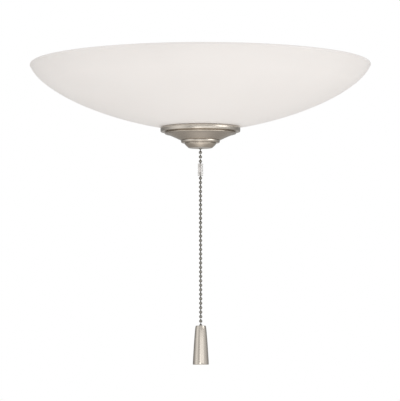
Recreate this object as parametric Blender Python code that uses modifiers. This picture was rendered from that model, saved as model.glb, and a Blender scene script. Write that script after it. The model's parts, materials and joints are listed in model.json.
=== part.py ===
"""Ceiling fan light kit: an opal glass bowl under a fitter pan, held by a hollow rod, a spun cap and a finial,
with three lamps inside and a pull switch worked by a bead chain. Metres, +Z up, origin at the centre of the
pan's top face, which meets the fan. The photograph looks along +Y."""

import math

import bmesh
import bpy
from mathutils import Matrix, Vector

# Clearances
GAP = 0.0003  # between pieces that touch
OVERRUN = 0.001  # how far a cutter passes the face that it cuts
MERGE = 0.00001
DRILL_TURN_SHARE = 1 / 3  # of a facet, so that no corner of a hole lies on another piece's facet line

# Fitter pan: a drawn steel pan with a recessed middle
PAN_RADIUS = 0.060
PAN_DEPTH = 0.012
PAN_SHEET = 0.0012
PAN_CORNER = 0.004
PAN_LIP = 0.0012
PAN_LIP_HEIGHT = 0.0015
RECESS_RADIUS = 0.040
RECESS_DEPTH = 0.003
RECESS_SLOPE = 0.003
KEYHOLE_HEAD = 0.0045
KEYHOLE_SLOT = 0.0023
KEYHOLE_LENGTH = 0.0085
KEYHOLE_COUNT = 3
WIRE_HOLE_RADIUS = 0.005
WIRE_HOLE_MARGIN = 0.0016  # between the grommet and the switch bracket
GROMMET_BORE = 0.0034
GROMMET_FLANGE = 0.0064
GROMMET_FLANGE_THICK = 0.0012
GROMMET_ROUNDING = 0.0005

# Centre rod and the strap that carries it
ROD_RADIUS = 0.0050
ROD_BORE = 0.0036
ROD_ROOM = 0.001  # between the switch's bushing and the rod
ROD_STANDING = 0.00065  # length of rod above its upper nut
ROD_ENGAGED = 0.0050  # length of rod inside the finial
BRIDGE_SHEET = 0.0015
BRIDGE_WIDTH = 0.016
BRIDGE_ROOM = 0.00425  # between the switch's case and the strap's legs
BRIDGE_FLANGE = 0.0145
BRIDGE_SCREW_INSET = 0.0085
BEND_RADIUS = 0.002
CORNER_RADIUS = 0.002
SCREW_RADIUS = 0.0016
SCREW_HEAD = 0.0035
SCREW_HEAD_HEIGHT = 0.0022
SCREW_STANDING = 0.0012  # length of screw above the pan's recess
NUT_HEX = 0.0080
NUT_HEIGHT = 0.0035
LOCK_WASHER_RADIUS = 0.0078
LOCK_WASHER_THICK = 0.0010

# Pull switch
SWITCH_SHEET = 0.0012
SWITCH_WIDTH = 0.018
SWITCH_ROOM = 0.0014  # between the case and the bracket's legs
SWITCH_FLANGE = 0.010
SWITCH_RIVET_INSET = 0.0055
CASE_HALF_X = 0.0125
CASE_HALF_Y = 0.0120
CASE_HEIGHT = 0.0215
CASE_WALL = 0.0012
CASE_EDGE = 0.0010
COVER_THICK = 0.0012
COVER_ROOM = 0.0010  # between the cover and the pan
BUSHING_BORE = 0.0026
BUSHING_FLANGE = 0.0066
BUSHING_FLANGE_THICK = 0.0012
BUSHING_STANDING = 0.0022  # length of bushing below its nut
SWITCH_NUT_HEIGHT = 0.0028
PLUNGER_RADIUS = 0.0052
PLUNGER_FLOOR = 0.0012
PLUNGER_RIM = 0.0024  # from the bead's centre up to the plunger's top
PLUNGER_ROOM = 0.001  # between the plunger and the cover
SPRING_MEAN_RADIUS = 0.0038
SPRING_WIRE = 0.00035
SPRING_TURNS = 4

# Rivets
RIVET_SHANK = 0.0015
RIVET_HEAD = 0.0028
RIVET_HEAD_HEIGHT = 0.0012

# Lamps: three sockets on brackets, each with a torpedo bulb
LAMP_COUNT = 3
LAMP_AXIS = -0.025
SOCKET_BACK = 0.031
SOCKET_RADIUS = 0.010
SOCKET_LENGTH = 0.029
SOCKET_BORE = 0.0073
SOCKET_FLOOR = 0.006
SOCKET_COLLAR = 0.0108
SOCKET_COLLAR_LENGTH = 0.005
BRACKET_SHEET = 0.001
BRACKET_WIDTH = 0.012
BRACKET_BELOW_AXIS = 0.008
BRACKET_MARGIN = 0.0005  # between the bracket's tab and the recess's edge
SHELL_WALL = 0.0005
SHELL_LENGTH = 0.0212
SHELL_HOLE = 0.0035
BASE_STEP = 0.0004
BASE_LENGTH = 0.0205
BASE_TIP = 0.0022
BASE_TIP_LENGTH = 0.0015
BASE_CONE_LENGTH = 0.003
BASE_COLLAR_LENGTH = 0.0028
BULB_RADIUS = 0.016
BULB_NECK = 0.0060
BULB_ROOM = 0.0361  # from a bulb's tip out to the bowl's radius
BULB_WALL = 0.0010
BULB_WIDEST_SHARE = 0.36
BULB_TIP_SHARE = 0.72

# Wiring
LEAD_RADIUS = 0.0009
LEAD_OFFSET = 0.0082  # from the lamp's axis, sideways
LEAD_SPACING = 0.006
LEAD_REACH = 0.008  # length inside a wire nut
LEAD_SIDE = 0.0012  # from a wire nut's axis
WIRE_NUT_RADIUS = 0.0055
WIRE_NUT_TIP = 0.0034
WIRE_NUT_LENGTH = 0.017
WIRE_NUT_CAVITY = 0.0029
WIRE_NUT_CAVITY_DEPTH = 0.0115
WIRE_NUT_PLACE = 0.030
WIRE_NUT_LEVEL = -0.022
WIRE_NUT_ROUNDING = 0.0015
NEUTRAL_ANGLE = math.radians(30)
HOT_ANGLE = math.radians(150)

# The leads' routes between a socket and a wire nut, in shares of SOCKET_BACK
HOT_ROUTE_1_SHARES = ((-0.42, 0.63, -0.79), (-0.61, 0.42, -0.77))
HOT_ROUTE_2_SHARES = ((-0.77, 0.10, -0.73), (-0.69, 0.31, -0.68))
HOT_ROUTE_3_SHARES = (
    (0.26, -0.77, -1.03),
    (-0.19, -0.81, -1.10),
    (-0.52, -0.65, -1.10),
    (-0.76, -0.32, -1.03),
    (-0.79, 0.06, -0.92),
    (-0.69, 0.29, -0.81),
)
NEUTRAL_ROUTE_1_SHARES = ((0.42, 0.63, -0.79), (0.61, 0.42, -0.76))
NEUTRAL_ROUTE_2_SHARES = (
    (-0.26, -0.77, -0.65),
    (0.19, -0.82, -0.53),
    (0.52, -0.65, -0.50),
    (0.76, -0.32, -0.50),
    (0.79, 0.06, -0.56),
    (0.71, 0.29, -0.63),
)
NEUTRAL_ROUTE_3_SHARES = ((0.77, 0.10, -0.77), (0.69, 0.29, -0.76))
SWITCH_ROUTE_SHARES = ((-0.53, 0.33, -0.58), (-0.68, 0.39, -0.63))
SWITCH_LEAD_LEVEL_SHARE = -0.58

# Glass bowl: its depth at a radius is D * (1 - (r / R)^a)^b, with a flat pad round the hole
BOWL_RADIUS = 0.166
BOWL_CURVE_DEPTH = 0.0658
BOWL_RADIAL_SHARE = 1.58
BOWL_DEPTH_SHARE = 0.625
BOWL_RIM = -0.0103
BOWL_WALL = 0.004
BOWL_PAD_RADIUS = 0.025
GASKET_COLLAR_WALL = 0.001
GASKET_RADIUS = 0.0215
GASKET_THICK = 0.002
WASHER_RADIUS = 0.0205
WASHER_THICK = 0.0012

# Spun cap
CAP_RADIUS = 0.0387
CAP_SHEET = 0.0009
CAP_BAND = 0.0045
CAP_LEDGE_WIDTH = 0.0033
CAP_BEAD_RADIUS = 0.0011
CAP_CONE_INSET = 0.0022
CAP_SEAT_MARGIN = 0.001  # of flat metal round the finial
CAP_CONE_DROP = 0.0061
CAP_CONE_SHARE = 1.15
CAP_BAND_BULGE = 0.0003
CAP_GASKET_WIDTH = 0.0026

# Finial
FINIAL_COLLAR = 0.0189
FINIAL_COLLAR_HEIGHT = 0.0023
FINIAL_BUTTON_TOP = 0.0158
FINIAL_BUTTON_END = 0.0115
FINIAL_BUTTON_HEIGHT = 0.0038
FINIAL_BUTTON_SHARE = 1.5  # power of the height by which the button draws in
FINIAL_NOSE = 0.0010
FINIAL_OUTLET = 0.0026

# Bead chain
BEAD_RADIUS = 0.0016
LINK_RADIUS = 0.00045
BEAD_PITCH = 0.00434
MAIN_BEADS = 33  # from the one inside the connector to the one above the last
BEAD_BARREL_SHARE = 0.42  # of a bead's radius, from its middle to the end of its full width

# Connector sleeve
SLEEVE_LENGTH = 0.01204
SLEEVE_WALL = 0.0007
SLEEVE_LIP = 0.0003
SLEEVE_MOUTH = 0.0009
SLEEVE_ROUNDING = 0.0004

# Fob
FOB_LENGTH = 0.0377
FOB_TOP_RADIUS = 0.0050
FOB_END_RADIUS = 0.0078
FOB_TAPER_SHARE = 0.72
FOB_ROUNDING = 0.0006
FOB_CUP_MARGIN = 0.0009
FOB_THROAT = 0.0008
FOB_THROAT_LENGTH = 0.0006

# Facets round each kind of turned piece
BOWL_STEPS = 44
CAP_STEPS = 30
FINIAL_STEPS = 22
PAN_STEPS = 28
ROD_STEPS = 14
LAMP_STEPS = 12
BASE_STEPS = 10
SMALL_STEPS = 7
HIDDEN_CHAIN_STEPS = 5
CHAIN_STEPS = 7
FOB_STEPS = 16
QUARTER = math.pi / 2

# Places worked out from the sizes above: radii and reaches, then levels from the top down
LAMP_ANGLES = [QUARTER + n * 2 * math.pi / LAMP_COUNT for n in range(LAMP_COUNT)]
KEYHOLE_CIRCLE = (RECESS_RADIUS + RECESS_SLOPE + PAN_RADIUS - PAN_CORNER) / 2
SWITCH_HALF_SPAN = CASE_HALF_Y + SWITCH_ROOM + SWITCH_SHEET / 2
SWITCH_REACH = SWITCH_HALF_SPAN + SWITCH_FLANGE
SWITCH_RIVET_PLACE = SWITCH_HALF_SPAN + SWITCH_RIVET_INSET
WIRE_HOLE_PLACE = SWITCH_REACH + WIRE_HOLE_MARGIN + GROMMET_FLANGE
BRIDGE_HALF_SPAN = CASE_HALF_X + BRIDGE_ROOM + BRIDGE_SHEET / 2
BRIDGE_REACH = BRIDGE_HALF_SPAN + BRIDGE_FLANGE
BRIDGE_SCREW_PLACE = BRIDGE_HALF_SPAN + BRIDGE_SCREW_INSET
BRACKET_REACH = RECESS_RADIUS - BRACKET_MARGIN
BRACKET_RIVET_PLACE = (SOCKET_BACK + BRACKET_REACH) / 2
SHELL_INNER = SOCKET_BORE - GAP - SHELL_WALL
BASE_COLLAR = SHELL_INNER - GAP
BASE_RADIUS = BASE_COLLAR - BASE_STEP
GASKET_BORE = ROD_RADIUS + GAP
BOWL_HOLE = GASKET_BORE + GASKET_COLLAR_WALL + GAP
CAP_LEDGE_RADIUS = CAP_RADIUS - CAP_LEDGE_WIDTH
CAP_CONE_TOP = CAP_LEDGE_RADIUS - CAP_CONE_INSET
CAP_CONE_END = FINIAL_COLLAR + CAP_SEAT_MARGIN
SLEEVE_BORE = BEAD_RADIUS + GAP
SLEEVE_RADIUS = SLEEVE_BORE + SLEEVE_WALL
FOB_CUP = BEAD_RADIUS + FOB_CUP_MARGIN

RECESS_TOP = -RECESS_DEPTH
PAN_UNDER = RECESS_TOP - PAN_SHEET
COVER_TOP = PAN_UNDER - COVER_ROOM
COVER_UNDER = COVER_TOP - COVER_THICK
CASE_TOP = COVER_UNDER - GAP
CASE_UNDER = CASE_TOP - CASE_HEIGHT
CASE_FLOOR = CASE_UNDER + CASE_WALL
SWITCH_WEB = CASE_UNDER - GAP - SWITCH_SHEET / 2
SWITCH_NUT_TOP = SWITCH_WEB - SWITCH_SHEET / 2 - GAP
BUSHING_END = SWITCH_NUT_TOP - SWITCH_NUT_HEIGHT - BUSHING_STANDING
ROD_TOP = BUSHING_END - ROD_ROOM
BRIDGE_WEB = ROD_TOP - ROD_STANDING - NUT_HEIGHT - GAP - BRIDGE_SHEET / 2
TOP_BEAD = COVER_UNDER - GAP - PLUNGER_ROOM - PLUNGER_RIM

NICKEL = ((0.43, 0.39, 0.34), 0.32, 1.0)
DARK_NICKEL = ((0.16, 0.15, 0.13), 0.3, 1.0)
STEEL = ((0.55, 0.55, 0.54), 0.35, 1.0)
WHITE_STEEL = ((0.75, 0.75, 0.73), 0.45, 0.0)
BRASS = ((0.62, 0.47, 0.22), 0.35, 1.0)
OPAL = ((0.80, 0.78, 0.75), 0.55, 0.0)
FROSTED = ((0.85, 0.85, 0.83), 0.5, 0.0)
RUBBER = ((0.03, 0.03, 0.03), 0.8, 0.0)
PHENOLIC = ((0.05, 0.045, 0.04), 0.5, 0.0)
CLEAR = ((0.75, 0.75, 0.75), 0.1, 0.0)
BLACK_LEAD = ((0.02, 0.02, 0.02), 0.5, 0.0)
WHITE_LEAD = ((0.75, 0.75, 0.72), 0.5, 0.0)
NUT_CAP = ((0.70, 0.20, 0.03), 0.5, 0.0)


def clear_scene():
    for obj in list(bpy.data.objects):
        bpy.data.objects.remove(obj)


def new_collection(name):
    group = bpy.data.collections.new(name)
    bpy.context.scene.collection.children.link(group)
    return group


def material(name, finish):
    colour, roughness, metallic = finish
    made = bpy.data.materials.new(name)
    made.use_nodes = True
    shader = made.node_tree.nodes["Principled BSDF"]
    shader.inputs["Base Color"].default_value = (*colour, 1)
    shader.inputs["Roughness"].default_value = roughness
    shader.inputs["Metallic"].default_value = metallic
    return made


def finish_piece(obj, finish, parent=None):
    """Put a piece in the kit with its own material, under its parent."""
    obj.data.materials.append(material(obj.name, finish))
    if parent:
        obj.parent = parent
    return obj


def new_object(name, data, cutter=False):
    obj = bpy.data.objects.new(name, data)
    if cutter:
        obj.hide_render = True
        obj.display_type = "WIRE"
    (CUTTERS if cutter else KIT).objects.link(obj)
    return obj


def mesh_object(name, points, edges, faces, cutter=False):
    mesh = bpy.data.meshes.new(name)
    mesh.from_pydata(points, edges, faces)
    return new_object(name, mesh, cutter)


def turned(name, outline, steps, cutter=False):
    """Turn an outline of (radius, height) about Z. It runs down the outer side; a ring's outline closes itself."""
    points = [(radius, 0, height) for radius, height in outline]
    edges = [(n, n + 1) for n in range(len(points) - 1)]
    if outline[0][0] > 0 and outline[-1][0] > 0:
        edges.append((len(points) - 1, 0))
    obj = mesh_object(name, points, edges, [], cutter)
    screw = obj.modifiers.new("turn", "SCREW")
    screw.steps = steps
    screw.render_steps = steps
    screw.use_merge_vertices = True
    screw.merge_threshold = MERGE
    screw.use_smooth_shade = True
    if not cutter:
        obj.modifiers.new("shading", "WEIGHTED_NORMAL")
    return obj


def tube_outline(outer, inner, top, bottom):
    return [(outer, top), (outer, bottom), (inner, bottom), (inner, top)]


def arc(centre, radius, start, end, count):
    """Points of a round stretch; the angle is measured from +radius towards +height."""
    angles = [start + (end - start) * n / count for n in range(count + 1)]
    return [(centre[0] + radius * math.cos(a), centre[1] + radius * math.sin(a)) for a in angles]


def drill(obj, radius, place, depth_from, depth_to, steps=12):
    """Cut a round hole along Z."""
    outline = [(0, depth_to), (radius, depth_to), (radius, depth_from), (0, depth_from)]
    cutter = turned(obj.name + "_drill", outline, steps, cutter=True)
    cutter.location = place
    cutter.rotation_euler = (0, 0, DRILL_TURN_SHARE * 2 * math.pi / steps)
    cut(obj, cutter)


def cut(obj, cutter):
    boolean = obj.modifiers.new("cut", "BOOLEAN")
    boolean.operation = "DIFFERENCE"
    boolean.object = cutter
    boolean.solver = "EXACT"


def hexagon(name, corner_radius, bore, top, bottom):
    """A hexagonal nut on the Z axis."""
    mesh = bpy.data.meshes.new(name)
    shape = bmesh.new()
    centre = Matrix.Translation((0, 0, (top + bottom) / 2))
    bmesh.ops.create_cone(
        shape,
        cap_ends=True,
        segments=6,
        radius1=corner_radius,
        radius2=corner_radius,
        depth=top - bottom,
        matrix=centre,
    )
    shape.to_mesh(mesh)
    shape.free()
    obj = new_object(name, mesh)
    drill(obj, bore, (0, 0, 0), bottom - OVERRUN, top + OVERRUN)
    return obj


def block(name, low, high, edge=0):
    """A box between two corners, with its upright edges rounded if edge is given."""
    size = Vector(high) - Vector(low)
    mesh = bpy.data.meshes.new(name)
    shape = bmesh.new()
    bmesh.ops.create_cube(shape, size=1)
    bmesh.ops.scale(shape, vec=size, verts=shape.verts)
    bmesh.ops.translate(shape, vec=(Vector(low) + Vector(high)) / 2, verts=shape.verts)
    if edge:
        upright = [e for e in shape.edges if abs(e.verts[0].co.z - e.verts[1].co.z) > edge]
        bmesh.ops.bevel(shape, geom=upright, offset=edge, segments=2, affect="EDGES", profile=0.5)
    shape.to_mesh(mesh)
    shape.free()
    return mesh


def rounded_path(points, radius, count=3):
    """A path with its inner corners made round."""
    out = [Vector(points[0])]
    for before, corner, after in zip(points, points[1:], points[2:]):
        before, corner, after = Vector(before), Vector(corner), Vector(after)
        to_before = (before - corner).normalized()
        to_after = (after - corner).normalized()
        half = to_before.angle(to_after) / 2
        reach = radius / math.tan(half)
        centre = corner + (to_before + to_after).normalized() * radius / math.sin(half)
        first = corner + to_before * reach - centre
        last = corner + to_after * reach - centre
        out += [centre + first.slerp(last, n / count).normalized() * radius for n in range(count + 1)]
    return out + [Vector(points[-1])]


def strip(name, path, width, thick, along_y=False):
    """Bent sheet: a path of (reach, 0, height) given a width, rounded end corners and a thickness."""
    half = width / 2
    shape = bmesh.new()
    rows = []
    for point in path:
        sides = [(point.x, -half, point.z), (point.x, half, point.z)]
        rows.append([shape.verts.new(side) for side in sides])
    for near, far in zip(rows, rows[1:]):
        shape.faces.new((near[0], near[1], far[1], far[0]))
    bmesh.ops.bevel(
        shape, geom=rows[0] + rows[-1], offset=CORNER_RADIUS, segments=2, affect="VERTICES", profile=0.5
    )
    mesh = bpy.data.meshes.new(name)
    shape.to_mesh(mesh)
    shape.free()
    obj = new_object(name, mesh)
    if along_y:
        obj.rotation_euler = (0, 0, QUARTER)
    solid = obj.modifiers.new("sheet", "SOLIDIFY")
    solid.thickness = thick
    solid.offset = 0
    solid.use_even_offset = True
    return obj


def smooth_route(points, spacing):
    """Points at even steps along a smooth curve through the route's points."""
    points = [Vector(p) for p in points]
    ends = [2 * points[0] - points[1]] + points + [2 * points[-1] - points[-2]]
    fine = 12
    curve = []
    for a, b, c, d in zip(ends, ends[1:], ends[2:], ends[3:]):
        for n in range(fine):
            t = n / fine
            along = (c - a) * t + (2 * a - 5 * b + 4 * c - d) * t**2 + (3 * b - a - 3 * c + d) * t**3
            curve.append(b + along / 2)
    curve.append(points[-1])
    lengths = [0]
    for near, far in zip(curve, curve[1:]):
        lengths.append(lengths[-1] + (far - near).length)
    count = max(2, round(lengths[-1] / spacing))
    out = []
    at = 0
    for n in range(count + 1):
        wanted = lengths[-1] * n / count
        while at < len(lengths) - 2 and lengths[at + 1] < wanted:
            at += 1
        share = (wanted - lengths[at]) / (lengths[at + 1] - lengths[at])
        out.append(curve[at].lerp(curve[at + 1], share))
    return out


def tube(name, points, radius, resolution=2):
    """A round wire along the points."""
    curve = bpy.data.curves.new(name, "CURVE")
    curve.dimensions = "3D"
    curve.bevel_depth = radius
    curve.bevel_resolution = resolution
    curve.use_fill_caps = True
    spline = curve.splines.new("POLY")
    spline.points.add(len(points) - 1)
    for place, point in zip(spline.points, points):
        place.co = (*point, 1)
    return new_object(name, curve)


def empty(name, location=(0, 0, 0), rotation=(0, 0, 0)):
    obj = bpy.data.objects.new(name, None)
    KIT.objects.link(obj)
    obj.location = location
    obj.rotation_euler = rotation
    return obj


def polar(radius, angle, height=0):
    return (radius * math.cos(angle), radius * math.sin(angle), height)


# Fitter pan


def keyhole_cutter(angle):
    """A round head with a slot beside it, lying along the screw circle."""
    side = math.asin(KEYHOLE_SLOT / KEYHOLE_HEAD)
    outline = arc((0, 0), KEYHOLE_HEAD, side, 2 * math.pi - side, 12)
    outline += arc((KEYHOLE_LENGTH, 0), KEYHOLE_SLOT, -QUARTER, QUARTER, 5)
    low = [(x, y, -PAN_SHEET - OVERRUN) for x, y in outline]
    high = [(x, y, OVERRUN) for x, y in outline]
    count = len(outline)
    sides = [(n, (n + 1) % count, count + (n + 1) % count, count + n) for n in range(count)]
    ends = [tuple(range(count))[::-1], tuple(range(count, 2 * count))]
    cutter = mesh_object("keyhole_cutter", low + high, [], sides + ends, cutter=True)
    cutter.location = polar(KEYHOLE_CIRCLE, angle)
    cutter.rotation_euler = (0, 0, angle + QUARTER)
    return cutter


def fitter_pan():
    flat_end = PAN_RADIUS - PAN_CORNER
    inner = PAN_RADIUS - PAN_SHEET
    lip_top = -PAN_DEPTH + PAN_LIP_HEIGHT
    corner = (flat_end, -PAN_CORNER)
    outline = [(0, RECESS_TOP), (RECESS_RADIUS, RECESS_TOP), (RECESS_RADIUS + RECESS_SLOPE, 0)]
    outline += arc(corner, PAN_CORNER, QUARTER, 0, 2)
    outline += [(PAN_RADIUS, lip_top), (PAN_RADIUS + PAN_LIP, lip_top - PAN_LIP / 2)]
    outline += [(PAN_RADIUS + PAN_LIP, -PAN_DEPTH), (inner, -PAN_DEPTH)]
    outline += arc(corner, PAN_CORNER - PAN_SHEET, 0, QUARTER, 1)
    outline += [(RECESS_RADIUS + RECESS_SLOPE, -PAN_SHEET), (RECESS_RADIUS, PAN_UNDER), (0, PAN_UNDER)]
    pan = finish_piece(turned("fitter_pan", outline, PAN_STEPS), WHITE_STEEL)
    for n in range(KEYHOLE_COUNT):
        cut(pan, keyhole_cutter(NEUTRAL_ANGLE + n * 2 * math.pi / KEYHOLE_COUNT))
    low, high = PAN_UNDER - OVERRUN, RECESS_TOP + OVERRUN
    drill(pan, WIRE_HOLE_RADIUS, (0, -WIRE_HOLE_PLACE, 0), low, high, ROD_STEPS)
    for side in (-1, 1):
        drill(pan, SCREW_RADIUS + GAP, (side * BRIDGE_SCREW_PLACE, 0, 0), low, high, SMALL_STEPS)
        drill(pan, RIVET_SHANK + GAP, (0, side * SWITCH_RIVET_PLACE, 0), low, high, SMALL_STEPS)
    for angle in LAMP_ANGLES:
        drill(pan, RIVET_SHANK + GAP, polar(BRACKET_RIVET_PLACE, angle), low, high, SMALL_STEPS)


def wire_grommet():
    """A soft bush with a flange on each side of the pan."""
    waist = WIRE_HOLE_RADIUS - GAP
    top, under = RECESS_TOP + GAP, PAN_UNDER - GAP
    outline = [
        (GROMMET_FLANGE - GROMMET_ROUNDING, top + GROMMET_FLANGE_THICK),
        (GROMMET_FLANGE, top),
        (waist, top),
        (waist, under),
        (GROMMET_FLANGE, under),
        (GROMMET_FLANGE - GROMMET_ROUNDING, under - GROMMET_FLANGE_THICK),
        (GROMMET_BORE, under - GROMMET_FLANGE_THICK),
        (GROMMET_BORE, top + GROMMET_FLANGE_THICK),
    ]
    grommet = finish_piece(turned("wire_grommet", outline, LAMP_STEPS), RUBBER)
    grommet.location = (0, -WIRE_HOLE_PLACE, 0)


def rivet(name, place, under):
    """A rivet through the pan's recess and the sheet whose lower face is at under."""
    low, high = under - GAP, RECESS_TOP + GAP
    outline = [
        (0, high + RIVET_HEAD_HEIGHT),
        (RIVET_HEAD / 2, high + RIVET_HEAD_HEIGHT),
        (RIVET_HEAD, high),
        (RIVET_SHANK, high),
        (RIVET_SHANK, low),
        (RIVET_HEAD, low),
        (RIVET_HEAD / 2, low - RIVET_HEAD_HEIGHT),
        (0, low - RIVET_HEAD_HEIGHT),
    ]
    obj = finish_piece(turned(name, outline, SMALL_STEPS), STEEL)
    obj.location = place


# Centre rod and its strap


def center_bridge():
    flange = PAN_UNDER - GAP - BRIDGE_SHEET / 2
    half = [(BRIDGE_REACH, 0, flange), (BRIDGE_HALF_SPAN, 0, flange), (BRIDGE_HALF_SPAN, 0, BRIDGE_WEB)]
    path = half + [(-x, y, z) for x, y, z in reversed(half)]
    bridge = strip("center_bridge", rounded_path(path, BEND_RADIUS), BRIDGE_WIDTH, BRIDGE_SHEET)
    finish_piece(bridge, STEEL)
    drill(bridge, ROD_RADIUS + GAP, (0, 0, BRIDGE_WEB), -BRIDGE_SHEET, BRIDGE_SHEET)
    for n, side in enumerate((1, -1)):
        place = (side * BRIDGE_SCREW_PLACE, 0, 0)
        drill(bridge, SCREW_RADIUS + GAP, place, flange - BRIDGE_SHEET, flange + BRIDGE_SHEET, SMALL_STEPS)
        seat = flange - BRIDGE_SHEET / 2 - GAP
        outline = [
            (0, RECESS_TOP + SCREW_STANDING),
            (SCREW_RADIUS, RECESS_TOP + SCREW_STANDING),
            (SCREW_RADIUS, seat),
            (SCREW_HEAD, seat),
            (SCREW_HEAD, seat - SCREW_HEAD_HEIGHT / 2),
            (SCREW_HEAD / 2, seat - SCREW_HEAD_HEIGHT),
            (0, seat - SCREW_HEAD_HEIGHT),
        ]
        screw = finish_piece(turned(f"bridge_screw_{n + 1}", outline, SMALL_STEPS), STEEL)
        screw.location = place


def center_rod():
    rod = turned("center_rod", tube_outline(ROD_RADIUS, ROD_BORE, ROD_TOP, ROD_END), ROD_STEPS)
    finish_piece(rod, STEEL)
    bore = ROD_RADIUS + GAP
    web_top = BRIDGE_WEB + BRIDGE_SHEET / 2 + GAP
    web_under = BRIDGE_WEB - BRIDGE_SHEET / 2 - GAP
    finish_piece(hexagon("rod_nut_upper", NUT_HEX, bore, web_top + NUT_HEIGHT, web_top), BRASS)
    washer_under = web_under - LOCK_WASHER_THICK
    washer = tube_outline(LOCK_WASHER_RADIUS, bore, web_under, washer_under)
    finish_piece(turned("rod_lock_washer", washer, LAMP_STEPS), STEEL)
    nut_top = washer_under - GAP
    finish_piece(hexagon("rod_nut_lower", NUT_HEX, bore, nut_top, nut_top - NUT_HEIGHT), BRASS)


# Pull switch


def switch_bracket():
    flange = PAN_UNDER - GAP - SWITCH_SHEET / 2
    half = [(SWITCH_REACH, 0, flange), (SWITCH_HALF_SPAN, 0, flange), (SWITCH_HALF_SPAN, 0, SWITCH_WEB)]
    path = half + [(-x, y, z) for x, y, z in reversed(half)]
    bracket = strip("switch_bracket", rounded_path(path, BEND_RADIUS), SWITCH_WIDTH, SWITCH_SHEET, along_y=True)
    finish_piece(bracket, STEEL)
    drill(bracket, ROD_RADIUS + GAP, (0, 0, SWITCH_WEB), -SWITCH_SHEET, SWITCH_SHEET)
    for n, side in enumerate((1, -1)):
        place = (0, side * SWITCH_RIVET_PLACE, 0)
        drill(bracket, RIVET_SHANK + GAP, place, flange - SWITCH_SHEET, flange + SWITCH_SHEET, SMALL_STEPS)
        rivet(f"switch_bracket_rivet_{n + 1}", place, flange - SWITCH_SHEET / 2)


def pull_switch():
    """The case sits on its bracket's web; the bushing's flange is trapped inside it and the nut holds both."""
    inside = CASE_HALF_X - CASE_WALL, CASE_HALF_Y - CASE_WALL
    low, high = (-CASE_HALF_X, -CASE_HALF_Y, CASE_UNDER), (CASE_HALF_X, CASE_HALF_Y, CASE_TOP)
    case = new_object("switch_case", block("switch_case", low, high, CASE_EDGE))
    finish_piece(case, PHENOLIC)
    hollow = block("case_hollow", (-inside[0], -inside[1], CASE_FLOOR), (*inside, CASE_TOP + OVERRUN))
    cut(case, new_object("case_hollow", hollow, cutter=True))
    drill(case, ROD_RADIUS + GAP, (0, 0, 0), CASE_UNDER - OVERRUN, CASE_FLOOR + OVERRUN)
    low, high = (*low[:2], COVER_UNDER), (*high[:2], COVER_TOP)
    finish_piece(new_object("switch_cover", block("switch_cover", low, high, CASE_EDGE)), PHENOLIC)

    flange_under = CASE_FLOOR + GAP
    flange_top = flange_under + BUSHING_FLANGE_THICK
    outline = [
        (BUSHING_FLANGE, flange_top),
        (BUSHING_FLANGE, flange_under),
        (ROD_RADIUS, flange_under),
        (ROD_RADIUS, BUSHING_END),
        (BUSHING_BORE, BUSHING_END),
        (BUSHING_BORE, flange_top),
    ]
    finish_piece(turned("switch_bushing", outline, ROD_STEPS), BRASS)
    nut_under = SWITCH_NUT_TOP - SWITCH_NUT_HEIGHT
    finish_piece(hexagon("switch_nut", NUT_HEX, ROD_RADIUS + GAP, SWITCH_NUT_TOP, nut_under), BRASS)

    cup = BEAD_RADIUS + GAP
    cup_floor = TOP_BEAD - BEAD_RADIUS - GAP
    plunger_under = cup_floor - PLUNGER_FLOOR
    outline = [
        (PLUNGER_RADIUS, TOP_BEAD + PLUNGER_RIM),
        (PLUNGER_RADIUS, plunger_under),
        (LINK_RADIUS + GAP, plunger_under),
        (LINK_RADIUS + GAP, cup_floor),
        (cup, cup_floor),
        (cup, TOP_BEAD + PLUNGER_RIM),
    ]
    finish_piece(turned("switch_plunger", outline, LAMP_STEPS), PHENOLIC)

    top = plunger_under - GAP - SPRING_WIRE
    bottom = flange_top + GAP + SPRING_WIRE
    count = SPRING_TURNS * 8
    coil = []
    for n in range(count + 1):
        angle = 2 * math.pi * SPRING_TURNS * n / count
        coil.append(polar(SPRING_MEAN_RADIUS, angle, top + (bottom - top) * n / count))
    finish_piece(tube("switch_spring", coil, SPRING_WIRE, 1), STEEL)


# Lamps


def bulb_outline(radius, neck, length, start):
    """Half the section of a torpedo bulb: a swelling neck, then a taper to a rounded tip."""
    widest = length * BULB_WIDEST_SHARE
    out = []
    for n in range(4):
        share = n / 3
        swell = (1 - math.cos(math.pi * share)) / 2
        out.append((neck + (radius - neck) * swell, start + widest * share))
    for n in range(1, 6):
        share = math.sin(QUARTER * n / 5)
        narrow = (1 - share**2) ** BULB_TIP_SHARE
        out.append((radius * narrow, start + widest + (length - widest) * share))
    out[-1] = (0, start + length)
    return out


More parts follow.
